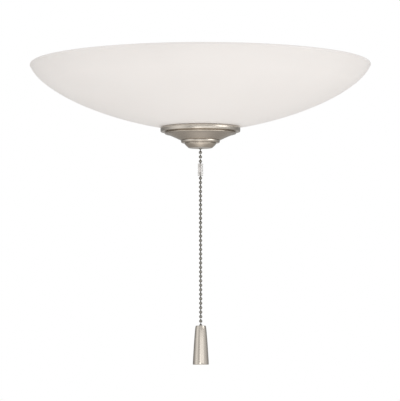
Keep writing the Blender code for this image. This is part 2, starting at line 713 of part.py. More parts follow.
def lamp(number, angle):
    """A socket on its bracket with a bulb in it. The lamp's own axis is a radius of the pan."""
    frame = empty(f"lamp_{number}_frame", rotation=(0, 0, angle))
    axis = empty(f"lamp_{number}_axis", location=(0, 0, LAMP_AXIS), rotation=(0, QUARTER, 0))
    axis.parent = frame

    leg = SOCKET_BACK - GAP - BRACKET_SHEET / 2
    tab = PAN_UNDER - GAP - BRACKET_SHEET / 2
    path = [(leg, 0, LAMP_AXIS - BRACKET_BELOW_AXIS), (leg, 0, tab), (BRACKET_REACH, 0, tab)]
    path = rounded_path(path, BEND_RADIUS)
    bracket = strip(f"socket_bracket_{number}", path, BRACKET_WIDTH, BRACKET_SHEET)
    finish_piece(bracket, STEEL, frame)
    place = polar(BRACKET_RIVET_PLACE, angle)
    drill(bracket, RIVET_SHANK + GAP, place, tab - BRACKET_SHEET, tab + BRACKET_SHEET, SMALL_STEPS)
    rivet(f"socket_rivet_{number}", place, tab - BRACKET_SHEET / 2)

    mouth = SOCKET_BACK + SOCKET_LENGTH
    floor = SOCKET_BACK + SOCKET_FLOOR
    outline = [
        (SOCKET_COLLAR, mouth),
        (SOCKET_COLLAR, mouth - SOCKET_COLLAR_LENGTH),
        (SOCKET_RADIUS, mouth - SOCKET_COLLAR_LENGTH),
        (SOCKET_RADIUS, SOCKET_BACK),
        (0, SOCKET_BACK),
    ]
    outline = [(0, floor), (SOCKET_BORE, floor), (SOCKET_BORE, mouth)] + outline
    finish_piece(turned(f"socket_body_{number}", outline, LAMP_STEPS), PHENOLIC, axis)

    shell_outer = SOCKET_BORE - GAP
    back = floor + GAP
    outline = [
        (shell_outer, back + SHELL_LENGTH),
        (shell_outer, back),
        (SHELL_HOLE, back),
        (SHELL_HOLE, back + SHELL_WALL),
        (SHELL_INNER, back + SHELL_WALL),
        (SHELL_INNER, back + SHELL_LENGTH),
    ]
    finish_piece(turned(f"socket_shell_{number}", outline, BASE_STEPS), BRASS, axis)

    tip = back + SHELL_WALL + GAP
    base_end = tip + BASE_LENGTH
    outline = [
        (0, base_end),
        (BASE_COLLAR, base_end),
        (BASE_COLLAR, base_end - BASE_COLLAR_LENGTH / 2),
        (BASE_RADIUS, base_end - BASE_COLLAR_LENGTH),
        (BASE_RADIUS, tip + BASE_TIP_LENGTH + BASE_CONE_LENGTH),
        (BASE_TIP, tip + BASE_TIP_LENGTH),
        (BASE_TIP, tip),
        (0, tip),
    ]
    finish_piece(turned(f"bulb_base_{number}", outline, BASE_STEPS), BRASS, axis)

    start = base_end + GAP
    length = BOWL_RADIUS - BULB_ROOM - start
    outer = bulb_outline(BULB_RADIUS, BULB_NECK, length, start)
    wall = BULB_WALL
    inner = bulb_outline(BULB_RADIUS - wall, BULB_NECK - wall, length - 2 * wall, start)
    outline = outer[::-1] + inner[:2] + inner[3:7:2] + inner[-1:]
    finish_piece(turned(f"bulb_glass_{number}", outline, LAMP_STEPS), FROSTED, axis)


# Wiring


def wire_nut(name, angle):
    """A twist-on connector lying along a radius, with its mouth towards the middle."""
    outline = [
        (0, WIRE_NUT_LENGTH),
        (WIRE_NUT_TIP - WIRE_NUT_ROUNDING, WIRE_NUT_LENGTH),
        (WIRE_NUT_TIP, WIRE_NUT_LENGTH - WIRE_NUT_ROUNDING),
        (WIRE_NUT_RADIUS, WIRE_NUT_LENGTH / 4),
        (WIRE_NUT_RADIUS, 0),
        (WIRE_NUT_CAVITY, 0),
        (WIRE_NUT_CAVITY, WIRE_NUT_CAVITY_DEPTH),
        (0, WIRE_NUT_CAVITY_DEPTH),
    ]
    nut = finish_piece(turned(name, outline, LAMP_STEPS), NUT_CAP)
    nut.rotation_euler = (0, QUARTER, angle)
    nut.location = polar(WIRE_NUT_PLACE, angle, WIRE_NUT_LEVEL)


def nut_end(angle, side, height):
    """The last points of a lead that goes straight into a wire nut, beside its fellows."""
    across = Vector(polar(side, angle + QUARTER))
    level = WIRE_NUT_LEVEL + height
    reaches = (WIRE_NUT_PLACE - LEAD_RADIUS, WIRE_NUT_PLACE + LEAD_REACH)
    return [Vector(polar(reach, angle, level)) + across for reach in reaches]


def socket_start(lamp_number, side):
    """The first points of a lead that leaves a socket's back."""
    angle = LAMP_ANGLES[lamp_number - 1]
    across = Vector(polar(side * LEAD_OFFSET, angle + QUARTER))
    reaches = (SOCKET_BACK - GAP, SOCKET_BACK - 5 * LEAD_RADIUS)
    return [Vector(polar(reach, angle, LAMP_AXIS)) + across for reach in reaches]


def lead(name, begin, route_shares, end, finish):
    """A lead from its first points, by a route in shares of SOCKET_BACK, to its last points."""
    route = [Vector(share) * SOCKET_BACK for share in route_shares]
    finish_piece(tube(name, smooth_route(begin + route + end, LEAD_SPACING), LEAD_RADIUS), finish)


def wiring():
    """Each socket's side points and each lead's place in its wire nut keep the leads apart."""
    wire_nut("wire_nut_neutral", NEUTRAL_ANGLE)
    wire_nut("wire_nut_hot", HOT_ANGLE)
    near = LEAD_SIDE
    hot = [
        (1, HOT_ROUTE_1_SHARES, 1, -near, -near),
        (2, HOT_ROUTE_2_SHARES, -1, near, near),
        (3, HOT_ROUTE_3_SHARES, -1, near, -near),
    ]
    neutral = [
        (1, NEUTRAL_ROUTE_1_SHARES, -1, near, -near),
        (2, NEUTRAL_ROUTE_2_SHARES, 1, 0, near),
        (3, NEUTRAL_ROUTE_3_SHARES, 1, -near, -near),
    ]
    for number, shares, side, across, height in hot:
        end = nut_end(HOT_ANGLE, across, height)
        lead(f"hot_lead_{number}", socket_start(number, side), shares, end, BLACK_LEAD)
    for number, shares, side, across, height in neutral:
        end = nut_end(NEUTRAL_ANGLE, across, height)
        lead(f"neutral_lead_{number}", socket_start(number, side), shares, end, WHITE_LEAD)
    outlet = (-CASE_HALF_X - GAP, CASE_HALF_Y - 2 * LEAD_RADIUS, SWITCH_LEAD_LEVEL_SHARE * SOCKET_BACK)
    lead("switch_lead", [outlet], SWITCH_ROUTE_SHARES, nut_end(HOT_ANGLE, -near, near), BLACK_LEAD)


# Glass and what grips it


def bowl_depth(radius):
    """Depth of the curved glass under the rim at a radius."""
    share = min(radius / BOWL_RADIUS, 1)
    return BOWL_CURVE_DEPTH * (1 - share**BOWL_RADIAL_SHARE) ** BOWL_DEPTH_SHARE


def bowl_under(radius):
    return BOWL_RIM - bowl_depth(max(radius, BOWL_PAD_RADIUS))


def glass_bowl():
    """Outer skin from the rim down, the hole, then the inner skin, a wall's thickness inside the outer."""
    shares = (0.999, 0.97, 0.90, 0.80, 0.66, 0.50, 0.34)
    radii = [BOWL_RADIUS * share for share in shares] + [BOWL_PAD_RADIUS]
    outer = [(radius, BOWL_RIM - bowl_depth(radius)) for radius in radii]
    inner = []
    for before, point, after in zip(outer, outer[1:], outer[2:]):
        along = (Vector(after) - Vector(before)).normalized()
        inner.append((point[0] + along.y * BOWL_WALL, point[1] - along.x * BOWL_WALL))
    pad = bowl_under(0)
    rim = BOWL_WALL / 2
    outline = [(BOWL_RADIUS - rim / 2, BOWL_RIM), (BOWL_RADIUS, BOWL_RIM - rim / 2)] + outer[1:]
    outline += [(BOWL_HOLE, pad), (BOWL_HOLE, pad + BOWL_WALL), (BOWL_PAD_RADIUS, pad + BOWL_WALL)]
    outline += inner[::-1]
    outline += [(BOWL_RADIUS - BOWL_WALL, BOWL_RIM - rim / 2), (BOWL_RADIUS - BOWL_WALL + rim / 2, BOWL_RIM)]
    finish_piece(turned("glass_bowl", outline, BOWL_STEPS), OPAL)


def glass_grip():
    """Stop nut, washer and gasket on top of the glass, and the gasket in the cap under it."""
    pad_top = bowl_under(0) + BOWL_WALL + GAP
    collar = BOWL_HOLE - GAP
    gasket_top = pad_top + GASKET_THICK
    outline = [
        (GASKET_RADIUS, gasket_top),
        (GASKET_RADIUS, pad_top),
        (collar, pad_top),
        (collar, bowl_under(0)),
        (GASKET_BORE, bowl_under(0)),
        (GASKET_BORE, gasket_top),
    ]
    finish_piece(turned("glass_gasket_inner", outline, ROD_STEPS), RUBBER)
    washer_under = gasket_top + GAP
    washer_top = washer_under + WASHER_THICK
    washer = tube_outline(WASHER_RADIUS, ROD_RADIUS + GAP, washer_top, washer_under)
    finish_piece(turned("glass_support_washer", washer, ROD_STEPS), STEEL)
    nut_under = washer_top + GAP
    nut = hexagon("glass_stop_nut", NUT_HEX, ROD_RADIUS + GAP, nut_under + NUT_HEIGHT, nut_under)
    finish_piece(nut, BRASS)

    outer = CAP_RADIUS - CAP_SHEET - GAP
    inner = outer - CAP_GASKET_WIDTH
    seat = CAP_LEDGE + CAP_SHEET + GAP
    outline = [(outer, bowl_under(outer) - GAP), (outer, seat), (inner, seat), (inner, bowl_under(inner) - GAP)]
    finish_piece(turned("glass_gasket_outer", outline, CAP_STEPS), RUBBER)


# Cap and finial


def cap_cone(inset):
    """The concave cone under the cap's bead, set in by the metal's thickness for the inner side."""
    out = []
    for n in range(4):
        share = n / 3
        radius = CAP_CONE_TOP + (CAP_CONE_END - CAP_CONE_TOP) * share
        out.append((radius - inset / 2, CAP_CONE_START - CAP_CONE_DROP * share**CAP_CONE_SHARE + inset))
    return out


def bottom_cap():
    """Band, ledge, small bead and concave cone, with a hole for the rod."""
    hole = ROD_RADIUS + GAP
    bead = (CAP_LEDGE_RADIUS - CAP_BEAD_RADIUS, CAP_LEDGE - CAP_BEAD_RADIUS)
    band_middle = (CAP_TOP + CAP_LEDGE) / 2
    outline = [
        (CAP_RADIUS, CAP_TOP),
        (CAP_RADIUS + CAP_BAND_BULGE, band_middle),
        (CAP_RADIUS, CAP_LEDGE),
        (CAP_LEDGE_RADIUS - CAP_BEAD_RADIUS, CAP_LEDGE),
    ]
    outline += arc(bead, CAP_BEAD_RADIUS, QUARTER / 2, -QUARTER, 3)
    outline += cap_cone(0)
    outline += [(hole, CAP_UNDER), (hole, CAP_UNDER + CAP_SHEET)]
    outline += cap_cone(CAP_SHEET)[::-1]
    inner_ledge = CAP_LEDGE + CAP_SHEET
    outline += [(CAP_CONE_TOP, inner_ledge), (CAP_RADIUS - CAP_SHEET, inner_ledge)]
    outline += [(CAP_RADIUS - CAP_SHEET, CAP_TOP)]
    finish_piece(turned("bottom_cap", outline, CAP_STEPS), NICKEL)


def finial():
    """A knob that screws on the rod: rounded collar, drawn-in button, and an outlet for the chain."""
    round_side = FINIAL_COLLAR_HEIGHT / 2
    middle = (FINIAL_COLLAR - round_side, FINIAL_TOP - round_side)
    collar_under = FINIAL_TOP - FINIAL_COLLAR_HEIGHT
    button_under = collar_under - FINIAL_BUTTON_HEIGHT
    bore = ROD_RADIUS + GAP
    outline = arc(middle, round_side, QUARTER, -QUARTER, 4)
    outline += [(FINIAL_BUTTON_TOP, collar_under)]
    for n in range(1, 4):
        share = n / 3
        drop = FINIAL_BUTTON_HEIGHT * share
        radius = FINIAL_BUTTON_TOP + (FINIAL_BUTTON_END - FINIAL_BUTTON_TOP) * share**FINIAL_BUTTON_SHARE
        outline.append((radius, collar_under - drop))
    outline += [(FINIAL_BUTTON_END - FINIAL_NOSE, button_under - FINIAL_NOSE)]
    outline += [(FINIAL_OUTLET, button_under - FINIAL_NOSE), (FINIAL_OUTLET, ROD_END - GAP)]
    outline += [(bore, ROD_END - GAP), (bore, FINIAL_TOP)]
    finish_piece(turned("finial", outline, FINIAL_STEPS), NICKEL)


# Chain


def bead_side(centre):
    """One bead's side, from the link above it to the link below it."""
    neck = math.sqrt(BEAD_RADIUS**2 - LINK_RADIUS**2)
    barrel = BEAD_RADIUS * BEAD_BARREL_SHARE
    half = [(LINK_RADIUS, neck), (BEAD_RADIUS, barrel)]
    below = [(radius, -height) for radius, height in reversed(half)]
    return [(radius, centre + height) for radius, height in half + below]


def chain_run(name, finish, centres, origin, steps, hung=False):
    """Beads joined by links. A hung run starts with the link that leaves the bead above it."""
    outline = []
    if hung:
        top = centres[0] + BEAD_PITCH - BEAD_RADIUS - GAP
        outline = [(0, top), (LINK_RADIUS, top)]
    else:
        outline = [(0, centres[0] + BEAD_RADIUS)]
    for centre in centres:
        outline += bead_side(centre)
    outline.append((0, centres[-1] - BEAD_RADIUS))
    outline = [(radius, height - origin) for radius, height in outline]
    run = finish_piece(turned(name, outline, steps), finish)
    run.location = (0, 0, origin)


def bead_chain():
    """Each piece that swings has its origin on the bead that it swings about."""
    hidden = [TOP_BEAD - n * BEAD_PITCH for n in range(HIDDEN_BEADS + 1)]
    chain_run("chain_upper", DARK_NICKEL, hidden, hidden[-1], HIDDEN_CHAIN_STEPS)
    chain_run("chain_bead_2", DARK_NICKEL, BEADS[1:2], BEADS[0], CHAIN_STEPS, hung=True)
    chain_run("chain_short_end", DARK_NICKEL, BEADS[2:4], BEADS[1], CHAIN_STEPS, hung=True)

    top, bottom = SLEEVE_TOP, SLEEVE_TOP - SLEEVE_LENGTH
    soft = SLEEVE_ROUNDING
    outline = [
        (SLEEVE_RADIUS - soft, top),
        (SLEEVE_RADIUS, top - soft),
        (SLEEVE_RADIUS, bottom + soft),
        (SLEEVE_RADIUS - soft, bottom),
        (SLEEVE_MOUTH, bottom),
        (SLEEVE_MOUTH, bottom + SLEEVE_LIP),
        (SLEEVE_BORE, bottom + SLEEVE_LIP),
        (SLEEVE_BORE, top - SLEEVE_LIP),
        (SLEEVE_MOUTH, top - SLEEVE_LIP),
        (SLEEVE_MOUTH, top),
    ]
    finish_piece(turned("chain_connector", outline, LAMP_STEPS), CLEAR)

    chain_run("chain_main", DARK_NICKEL, MAIN_RUN, MAIN_RUN[0], CHAIN_STEPS)
    chain_run("chain_bead_last", DARK_NICKEL, [LAST_BEAD], MAIN_RUN[-1], CHAIN_STEPS, hung=True)
    chain_run("fob_link", DARK_NICKEL, FOB_BEADS, LAST_BEAD, CHAIN_STEPS, hung=True)


def fob():
    """A tapered pull whose top takes the chain's end beads: one in an open cup, one behind a throat."""
    top = FOB_BEADS[0]
    end = top - FOB_LENGTH
    soft = FOB_ROUNDING
    outer = [(FOB_TOP_RADIUS - soft, top)]
    for n in range(5):
        share = n / 4
        radius = FOB_TOP_RADIUS + (FOB_END_RADIUS - FOB_TOP_RADIUS) * share**FOB_TAPER_SHARE
        outer.append((radius, top - soft - (FOB_LENGTH - 2 * soft) * share))
    outer += [(FOB_END_RADIUS - soft, end), (0, end)]
    chamber_top = FOB_BEADS[1] + BEAD_RADIUS + GAP
    chamber_end = FOB_BEADS[1] - BEAD_RADIUS - GAP
    cup_floor = chamber_top + FOB_THROAT_LENGTH
    chamber = BEAD_RADIUS + GAP
    inner = [(0, chamber_end), (chamber, chamber_end), (chamber, chamber_top), (FOB_THROAT, chamber_top)]
    inner += [(FOB_THROAT, cup_floor), (FOB_CUP, top)]
    outline = [(radius, height - top) for radius, height in inner + outer]
    piece = finish_piece(turned("fob", outline, FOB_STEPS), NICKEL)
    piece.location = (0, 0, top)


# Levels from the glass down: cap, finial, chain, connector and fob
CAP_TOP = bowl_under(CAP_RADIUS) - GAP
CAP_LEDGE = CAP_TOP - CAP_BAND
CAP_CONE_START = CAP_LEDGE - 2 * CAP_BEAD_RADIUS
CAP_UNDER = CAP_CONE_START - CAP_CONE_DROP
FINIAL_TOP = CAP_UNDER - GAP
ROD_END = FINIAL_TOP - ROD_ENGAGED
FINIAL_END = FINIAL_TOP - FINIAL_COLLAR_HEIGHT - FINIAL_BUTTON_HEIGHT - FINIAL_NOSE
HIDDEN_BEADS = math.ceil((TOP_BEAD - FINIAL_END + BEAD_RADIUS + GAP) / BEAD_PITCH)
FIRST_BEAD = TOP_BEAD - HIDDEN_BEADS * BEAD_PITCH
BEADS = [FIRST_BEAD - n * BEAD_PITCH for n in range(4)]
SLEEVE_TOP = BEADS[3] + BEAD_RADIUS + GAP + SLEEVE_LIP
MAIN_FIRST = SLEEVE_TOP - SLEEVE_LENGTH + SLEEVE_LIP + GAP + BEAD_RADIUS
MAIN_RUN = [MAIN_FIRST - n * BEAD_PITCH for n in range(MAIN_BEADS)]
LAST_BEAD = MAIN_RUN[-1] - BEAD_PITCH
FOB_BEADS = [LAST_BEAD - BEAD_PITCH, LAST_BEAD - 2 * BEAD_PITCH]

clear_scene()
KIT = new_collection("ceiling_fan_light_kit")
CUTTERS = new_collection("cutters")

fitter_pan()
wire_grommet()
center_bridge()
center_rod()
switch_bracket()
pull_switch()
for number, angle in enumerate(LAMP_ANGLES):
    lamp(number + 1, angle)
wiring()
glass_bowl()
glass_grip()
bottom_cap()
finial()
bead_chain()
fob()
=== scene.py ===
"""Looks of the ceiling fan light kit: its fine surfaces, their finishes, the light and the camera."""

import json
import math

import bmesh
import bpy
from mathutils import Matrix, Vector

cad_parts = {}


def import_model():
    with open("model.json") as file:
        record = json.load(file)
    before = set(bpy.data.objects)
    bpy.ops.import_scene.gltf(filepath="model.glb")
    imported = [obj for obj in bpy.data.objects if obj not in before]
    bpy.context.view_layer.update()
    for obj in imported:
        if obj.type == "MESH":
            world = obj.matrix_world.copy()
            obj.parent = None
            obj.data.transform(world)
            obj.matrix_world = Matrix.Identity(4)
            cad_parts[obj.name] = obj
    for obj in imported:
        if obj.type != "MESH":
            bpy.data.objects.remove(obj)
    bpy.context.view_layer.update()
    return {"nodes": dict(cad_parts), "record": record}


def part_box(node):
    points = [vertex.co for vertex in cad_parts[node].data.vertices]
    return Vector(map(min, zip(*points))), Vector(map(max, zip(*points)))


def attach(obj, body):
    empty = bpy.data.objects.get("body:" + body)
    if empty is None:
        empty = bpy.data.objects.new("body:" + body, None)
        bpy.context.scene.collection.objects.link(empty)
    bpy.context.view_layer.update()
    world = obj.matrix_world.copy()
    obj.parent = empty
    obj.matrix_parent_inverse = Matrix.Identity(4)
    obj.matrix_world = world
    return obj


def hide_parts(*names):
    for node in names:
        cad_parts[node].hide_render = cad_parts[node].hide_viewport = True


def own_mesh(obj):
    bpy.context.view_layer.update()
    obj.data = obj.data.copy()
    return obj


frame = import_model()

TURN = 2 * math.pi
QUARTER = TURN / 4
MM = 0.001
GAP = 0.3 * MM  # between pieces that touch
TINY = 1e-7

# Camera: it stands this far in front of the rod, below the glass, and looks slightly up
CAMERA_DISTANCE = 2.300
CAMERA_SIDE = -0.0005
CAMERA_HEIGHT = -0.293
CAMERA_ROLL = math.radians(0.10)
CAMERA_REACH = 100.0
VIEW_CENTRE_HEIGHT = -0.1437
SENSOR_WIDTH = 36.0
HALF_VIEW = math.radians(4.82)

# Facets round each kind of turned piece, and round a small edge
BOWL_STEPS = 160
METAL_STEPS = 128
LAMP_STEPS = 48
SLEEVE_STEPS = 32
BEAD_STEPS = 24
EDGE_STEPS = 4

# An edge where the surface turns by more than this, in degrees, stays sharp
GLASS_SHARP = 50
CHAIN_SHARP = 40
METAL_SHARP = 38
COIL_SHARP = 35


# Mesh tools


def add(name, data):
    """Put a mesh, a light or a camera into the scene."""
    obj = bpy.data.objects.new(name, data)
    bpy.context.scene.collection.objects.link(obj)
    return obj


def mesh_of(name, shape):
    """A mesh of a bmesh, which is freed."""
    mesh = bpy.data.meshes.new(name)
    shape.to_mesh(mesh)
    shape.free()
    return mesh


def solid(name, shape, sharp):
    """An object of a closed bmesh, with smooth shading between its sharp edges."""
    bmesh.ops.recalc_face_normals(shape, faces=shape.faces)
    mesh = mesh_of(name, shape)
    mesh.polygons.foreach_set("use_smooth", [True] * len(mesh.polygons))
    mesh.set_sharp_from_angle(angle=math.radians(sharp))
    return add(name, mesh)


def turned(name, outline, steps, sharp, start=0.0, sweep=TURN):
    """Turn an outline of (radius, height) about Z.

    An outline with both ends off the axis closes itself, and a part turn gets end faces.
    """
    whole = sweep >= TURN - TINY
    angles = [start + sweep * n / steps for n in range(steps if whole else steps + 1)]
    shape = bmesh.new()
    rings = []
    for radius, height in outline:
        if radius < TINY:
            rings.append([shape.verts.new((0, 0, height))])
            continue
        rings.append([shape.verts.new((radius * math.cos(a), radius * math.sin(a), height)) for a in angles])
    pairs = list(zip(rings, rings[1:]))
    if len(rings[0]) > 1 and len(rings[-1]) > 1:
        pairs.append((rings[-1], rings[0]))
    for upper, lower in pairs:
        for n in range(steps):
            places = ((upper, n), (lower, n), (lower, n + 1), (upper, n + 1))
            corners = [ring[k % len(ring)] for ring, k in places]
            shape.faces.new(list(dict.fromkeys(corners)))
    if not whole:
        shape.faces.new([ring[0] for ring in rings])
        shape.faces.new([ring[-1] for ring in reversed(rings)])
    return solid(name, shape, sharp)


def shares(count):
    """The shares 0 to 1 in so many equal steps."""
    return [n / count for n in range(count + 1)]


def arc(centre, radius, start, end, count):
    """Points of a round stretch; angles in degrees from +radius towards +height."""
    angles = [math.radians(start + (end - start) * share) for share in shares(count)]
    return [(centre[0] + radius * math.cos(a), centre[1] + radius * math.sin(a)) for a in angles]


def dress(obj, body, node, slot, look=None):
    """Give a piece its finish, fix it to its body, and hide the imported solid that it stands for."""
    obj.data.materials.append(FINISHES[look or slot])
    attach(obj, body)
    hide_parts(node)


# Material tools

# Nearly all of a noise's values lie between these
NOISE_LOW = 0.3
NOISE_HIGH = 0.7

# The highest level that a ramp of levels holds
LEVEL_TOP = 1.5

# How open a point is, as the occlusion node finds it: the painted shade is darkest up to the first, and none
# from the second
OPENNESS_LOW = 0.25
OPENNESS_HIGH = 0.75
OPENNESS_SAMPLES = 6


class Nodes:
    """The nodes of a material or of the world."""

    def __init__(self, tree):
        self.tree = tree

    def feed(self, socket, value):
        """Link another socket's output to this one, or set it to a constant."""
        if isinstance(value, bpy.types.NodeSocket):
            self.tree.links.new(value, socket)
        else:
            socket.default_value = value

    def node(self, kind, inputs=None, **settings):
        """A new node with its settings made first, and then its inputs fed."""
        made = self.tree.nodes.new(kind)
        for name, value in settings.items():
            setattr(made, name, value)
        for name, value in (inputs or {}).items():
            self.feed(made.inputs[name], value)
        return made

    def math(self, operation, *values):
        """The outcome of an operation on one or two values, each a number or a socket."""
        return self.node("ShaderNodeMath", dict(enumerate(values)), operation=operation).outputs[0]

    def split(self, vector):
        return self.node("ShaderNodeSeparateXYZ", {"Vector": vector}).outputs

    def levels(self, value, steps):
        """A soft ramp through (value, level) steps."""
        low, high = steps[0][0], steps[-1][0]
        share = self.math("DIVIDE", self.math("SUBTRACT", value, low), high - low)
        ramp = self.node("ShaderNodeValToRGB", {"Fac": share})
        ramp.color_ramp.interpolation = "EASE"
        stops = ramp.color_ramp.elements
        while len(stops) < len(steps):
            stops.new(1.0)
        for stop, (at, level) in zip(stops, steps):
            stop.position = (at - low) / (high - low)
            stop.color = (*[level / LEVEL_TOP] * 3, 1)
        return self.math("MULTIPLY", ramp.outputs["Color"], LEVEL_TOP)


class Surface(Nodes):
    """A Principled material, whose settings are named as its sockets are, with _ for a space."""

    def __init__(self, name, colour, roughness, metallic=0.0, **settings):
        self.material = bpy.data.materials.new(name)
        self.material.use_nodes = True
        super().__init__(self.material.node_tree)
        self.shader = self.tree.nodes["Principled BSDF"]
        self.where = self.node("ShaderNodeTexCoord").outputs["Object"]
        self.colour = colour
        self.set("Base Color", (*colour, 1))
        self.set("Roughness", roughness)
        self.set("Metallic", metallic)
        for socket, value in settings.items():
            self.set(socket.replace("_", " "), value)

    def set(self, socket, value):
        self.feed(self.shader.inputs[socket], value)

    def noise(self, scale, detail=3.0, roughness=0.5, distortion=0.0, vector=None):
        """Noise over the piece's own places, or over another vector."""
        inputs = {"Scale": scale, "Detail": detail, "Roughness": roughness, "Distortion": distortion}
        inputs["Vector"] = self.where if vector is None else vector
        return self.node("ShaderNodeTexNoise", inputs).outputs["Fac"]

    def spread(self, value, low, high, from_low=NOISE_LOW, from_high=NOISE_HIGH):
        """Map a value onto low to high, and hold it between them."""
        inputs = {"Value": value, "From Min": from_low, "From Max": from_high, "To Min": low, "To Max": high}
        return self.node("ShaderNodeMapRange", inputs).outputs["Result"]

    def mixed(self, first, second, share):
        """The two values added, with this share of the first."""
        rest = self.math("MULTIPLY", second, 1 - share)
        return self.math("ADD", self.math("MULTIPLY", first, share), rest)

    def tint(self, value, dark, light=(1.0, 1.0, 1.0)):
        """Base colour between two shares of the material's own colour."""
        ramp = self.node("ShaderNodeValToRGB", {"Fac": value})
        stops = ramp.color_ramp.elements
        for stop, position, share in zip(stops, (NOISE_LOW, NOISE_HIGH), (dark, light)):
            stop.position = position
            stop.color = (*[c * s for c, s in zip(self.colour, share)], 1)
        self.set("Base Color", ramp.outputs["Color"])

    def rough(self, value, low, high):
        self.set("Roughness", self.spread(value, low, high))

    def bump(self, value, distance, strength):
        inputs = {"Height": value, "Distance": distance, "Strength": strength}
        self.set("Normal", self.node("ShaderNodeBump", inputs).outputs["Normal"])

    def paint_crevice_shade(self, reach, dark):
        """Paint shade into the base colour in corners and grooves, by how closed in a point is."""
        colour = self.shader.inputs["Base Color"].links[0].from_socket
        openness = self.node("ShaderNodeAmbientOcclusion", {"Distance": reach}, samples=OPENNESS_SAMPLES)
        level = self.spread(openness.outputs["AO"], dark, 1.0, OPENNESS_LOW, OPENNESS_HIGH)
        inputs = {"Factor": 1.0, "A": colour, "B": level}
        mix = self.node("ShaderNodeMix", inputs, data_type="RGBA", blend_type="MULTIPLY")
        self.set("Base Color", mix.outputs["Result"])

    def stretched(self, scale):
        """The piece's own places, scaled along each axis."""
        return self.node("ShaderNodeMapping", {"Vector": self.where, "Scale": scale}).outputs[0]

    def from_axis(self, x, y):
        """Distance from the Z axis."""
        squares = self.math("ADD", self.math("MULTIPLY", x, x), self.math("MULTIPLY", y, y))
        return self.math("SQRT", squares)

    def rings(self, across, around):
        """A vector that runs fast across the rings about Z, and slowly round them."""
        x, y, z = self.split(self.where)
        radius = self.from_axis(x, y)
        safe = self.math("MAXIMUM", radius, TINY)
        inputs = {
            "X": self.math("MULTIPLY", self.math("ADD", radius, z), across),
            "Y": self.math("MULTIPLY", self.math("DIVIDE", x, safe), around),
            "Z": self.math("MULTIPLY", self.math("DIVIDE", y, safe), around),
        }
        return self.node("ShaderNodeCombineXYZ", inputs).outputs[0]


# Finishes, one function each

NICKEL = (0.56, 0.515, 0.46)

# The opal glass is darkened with painted shade between these heights, up to its rim
OPAL_SHADE_START = -30.0 * MM
OPAL_SHADE_FULL = -8.0 * MM

# A bead has painted shade up to the first distance from its axis, and none from the second outwards
BEAD_SHADE_RADIUS = 0.7 * MM
BEAD_UNSHADED_RADIUS = 1.3 * MM

# The sleeve's painted shade fades between the two distances from its slit's middle, and again between the two
# places from its left side to its right
SLIT_SHADE_NEAR = 0.25 * MM
SLIT_SHADE_FAR = 0.75 * MM
SLEEVE_SHADE_LEFT = -0.6 * MM
SLEEVE_SHADE_RIGHT = 0.4 * MM


def opal_glass():
    """Satin white opal glass: a soft sheen, faint clouds in its colour, painted shade towards the rim, and
    etched grain.
    """
    surface = Surface(
        "opal_glass",
        (0.872, 0.834, 0.81),
        roughness=0.42,
        IOR=1.5,
        Coat_Weight=0.08,
        Coat_Roughness=0.3,
        Subsurface_Weight=0.12,
        Subsurface_Radius=(1.0, 0.95, 0.9),
        Subsurface_Scale=3.0 * MM,
    )
    height = surface.split(surface.where)[2]
    clouds = surface.spread(surface.noise(scale=14.0, detail=2.0), 0.62, 0.70)
    # painted shade: the colour darker towards the rim, at the top of the bowl
    rim = surface.spread(height, 0.0, 0.36, OPAL_SHADE_START, OPAL_SHADE_FULL)
    surface.tint(surface.math("SUBTRACT", clouds, rim), dark=(0.92, 0.92, 0.918))
    surface.rough(surface.noise(scale=60.0), 0.38, 0.47)
    surface.bump(surface.noise(scale=2500.0, detail=2.0), distance=0.05 * MM, strength=0.12)
    return surface.material


def brushed_nickel():
    """Nickel plate over spun metal: fine rings round the axis, in colour, gloss and relief."""
    surface = Surface("brushed_nickel", NICKEL, roughness=0.24, metallic=1.0, Anisotropic=0.5)
    tangent = surface.node("ShaderNodeTangent", direction_type="RADIAL", axis="Z")
    surface.set("Tangent", tangent.outputs[0])
    fine_rings = surface.rings(across=4200.0, around=1.6)
    broad_rings = surface.rings(across=700.0, around=0.5)
    fine = surface.noise(scale=1.0, detail=4.0, roughness=0.65, vector=fine_rings)
    broad = surface.noise(scale=1.0, detail=2.0, vector=broad_rings)
    surface.tint(surface.mixed(fine, broad, 0.65), dark=(0.91, 0.90, 0.89), light=(1.06, 1.06, 1.05))
    # painted shade: the base colour darkened in grooves and corners by occlusion
    surface.paint_crevice_shade(reach=0.8 * MM, dark=0.9)
    surface.rough(fine, 0.20, 0.29)
    surface.bump(fine, distance=0.02 * MM, strength=0.15)
    return surface.material


def drawn_nickel():
    """The fob's nickel, polished along its length: fine upright lines, and a faint cloud."""
    surface = Surface("drawn_nickel", NICKEL, roughness=0.19, metallic=1.0, Anisotropic=0.3)
    upright = surface.stretched((1.0, 1.0, 0.03))
    lines = surface.noise(scale=2400.0, roughness=0.6, vector=upright)
    cloud = surface.noise(scale=130.0, detail=2.0)
    surface.tint(surface.mixed(lines, cloud, 0.6), dark=(0.92, 0.915, 0.91), light=(1.05, 1.05, 1.04))
    # painted shade: the base colour darkened strongly in hollows and corners by occlusion
    surface.paint_crevice_shade(reach=1.5 * MM, dark=0.4)
    surface.rough(lines, 0.15, 0.24)
    surface.bump(lines, distance=0.01 * MM, strength=0.12)
    return surface.material


def dark_nickel():
    """Small plated beads: bright where they rub, and darkened with painted shade at the links between them.
    """
    surface = Surface("dark_nickel", (0.262, 0.256, 0.236), roughness=0.24, metallic=1.0)
    rub = surface.noise(scale=900.0)
    x, y = surface.split(surface.where)[:2]
    # painted shade: the chain darkened towards its axis, where the links sit between the beads
    unshaded = surface.spread(surface.from_axis(x, y), 0.0, 1.0, BEAD_SHADE_RADIUS, BEAD_UNSHADED_RADIUS)
    both = surface.math("MULTIPLY", unshaded, surface.spread(rub, 0.55, 0.7))
    surface.tint(both, dark=(0.22, 0.22, 0.21), light=(1.1, 1.1, 1.08))
    surface.rough(surface.noise(scale=1600.0, detail=2.0), 0.17, 0.34)
    surface.bump(rub, distance=0.03 * MM, strength=0.15)
    return surface.material


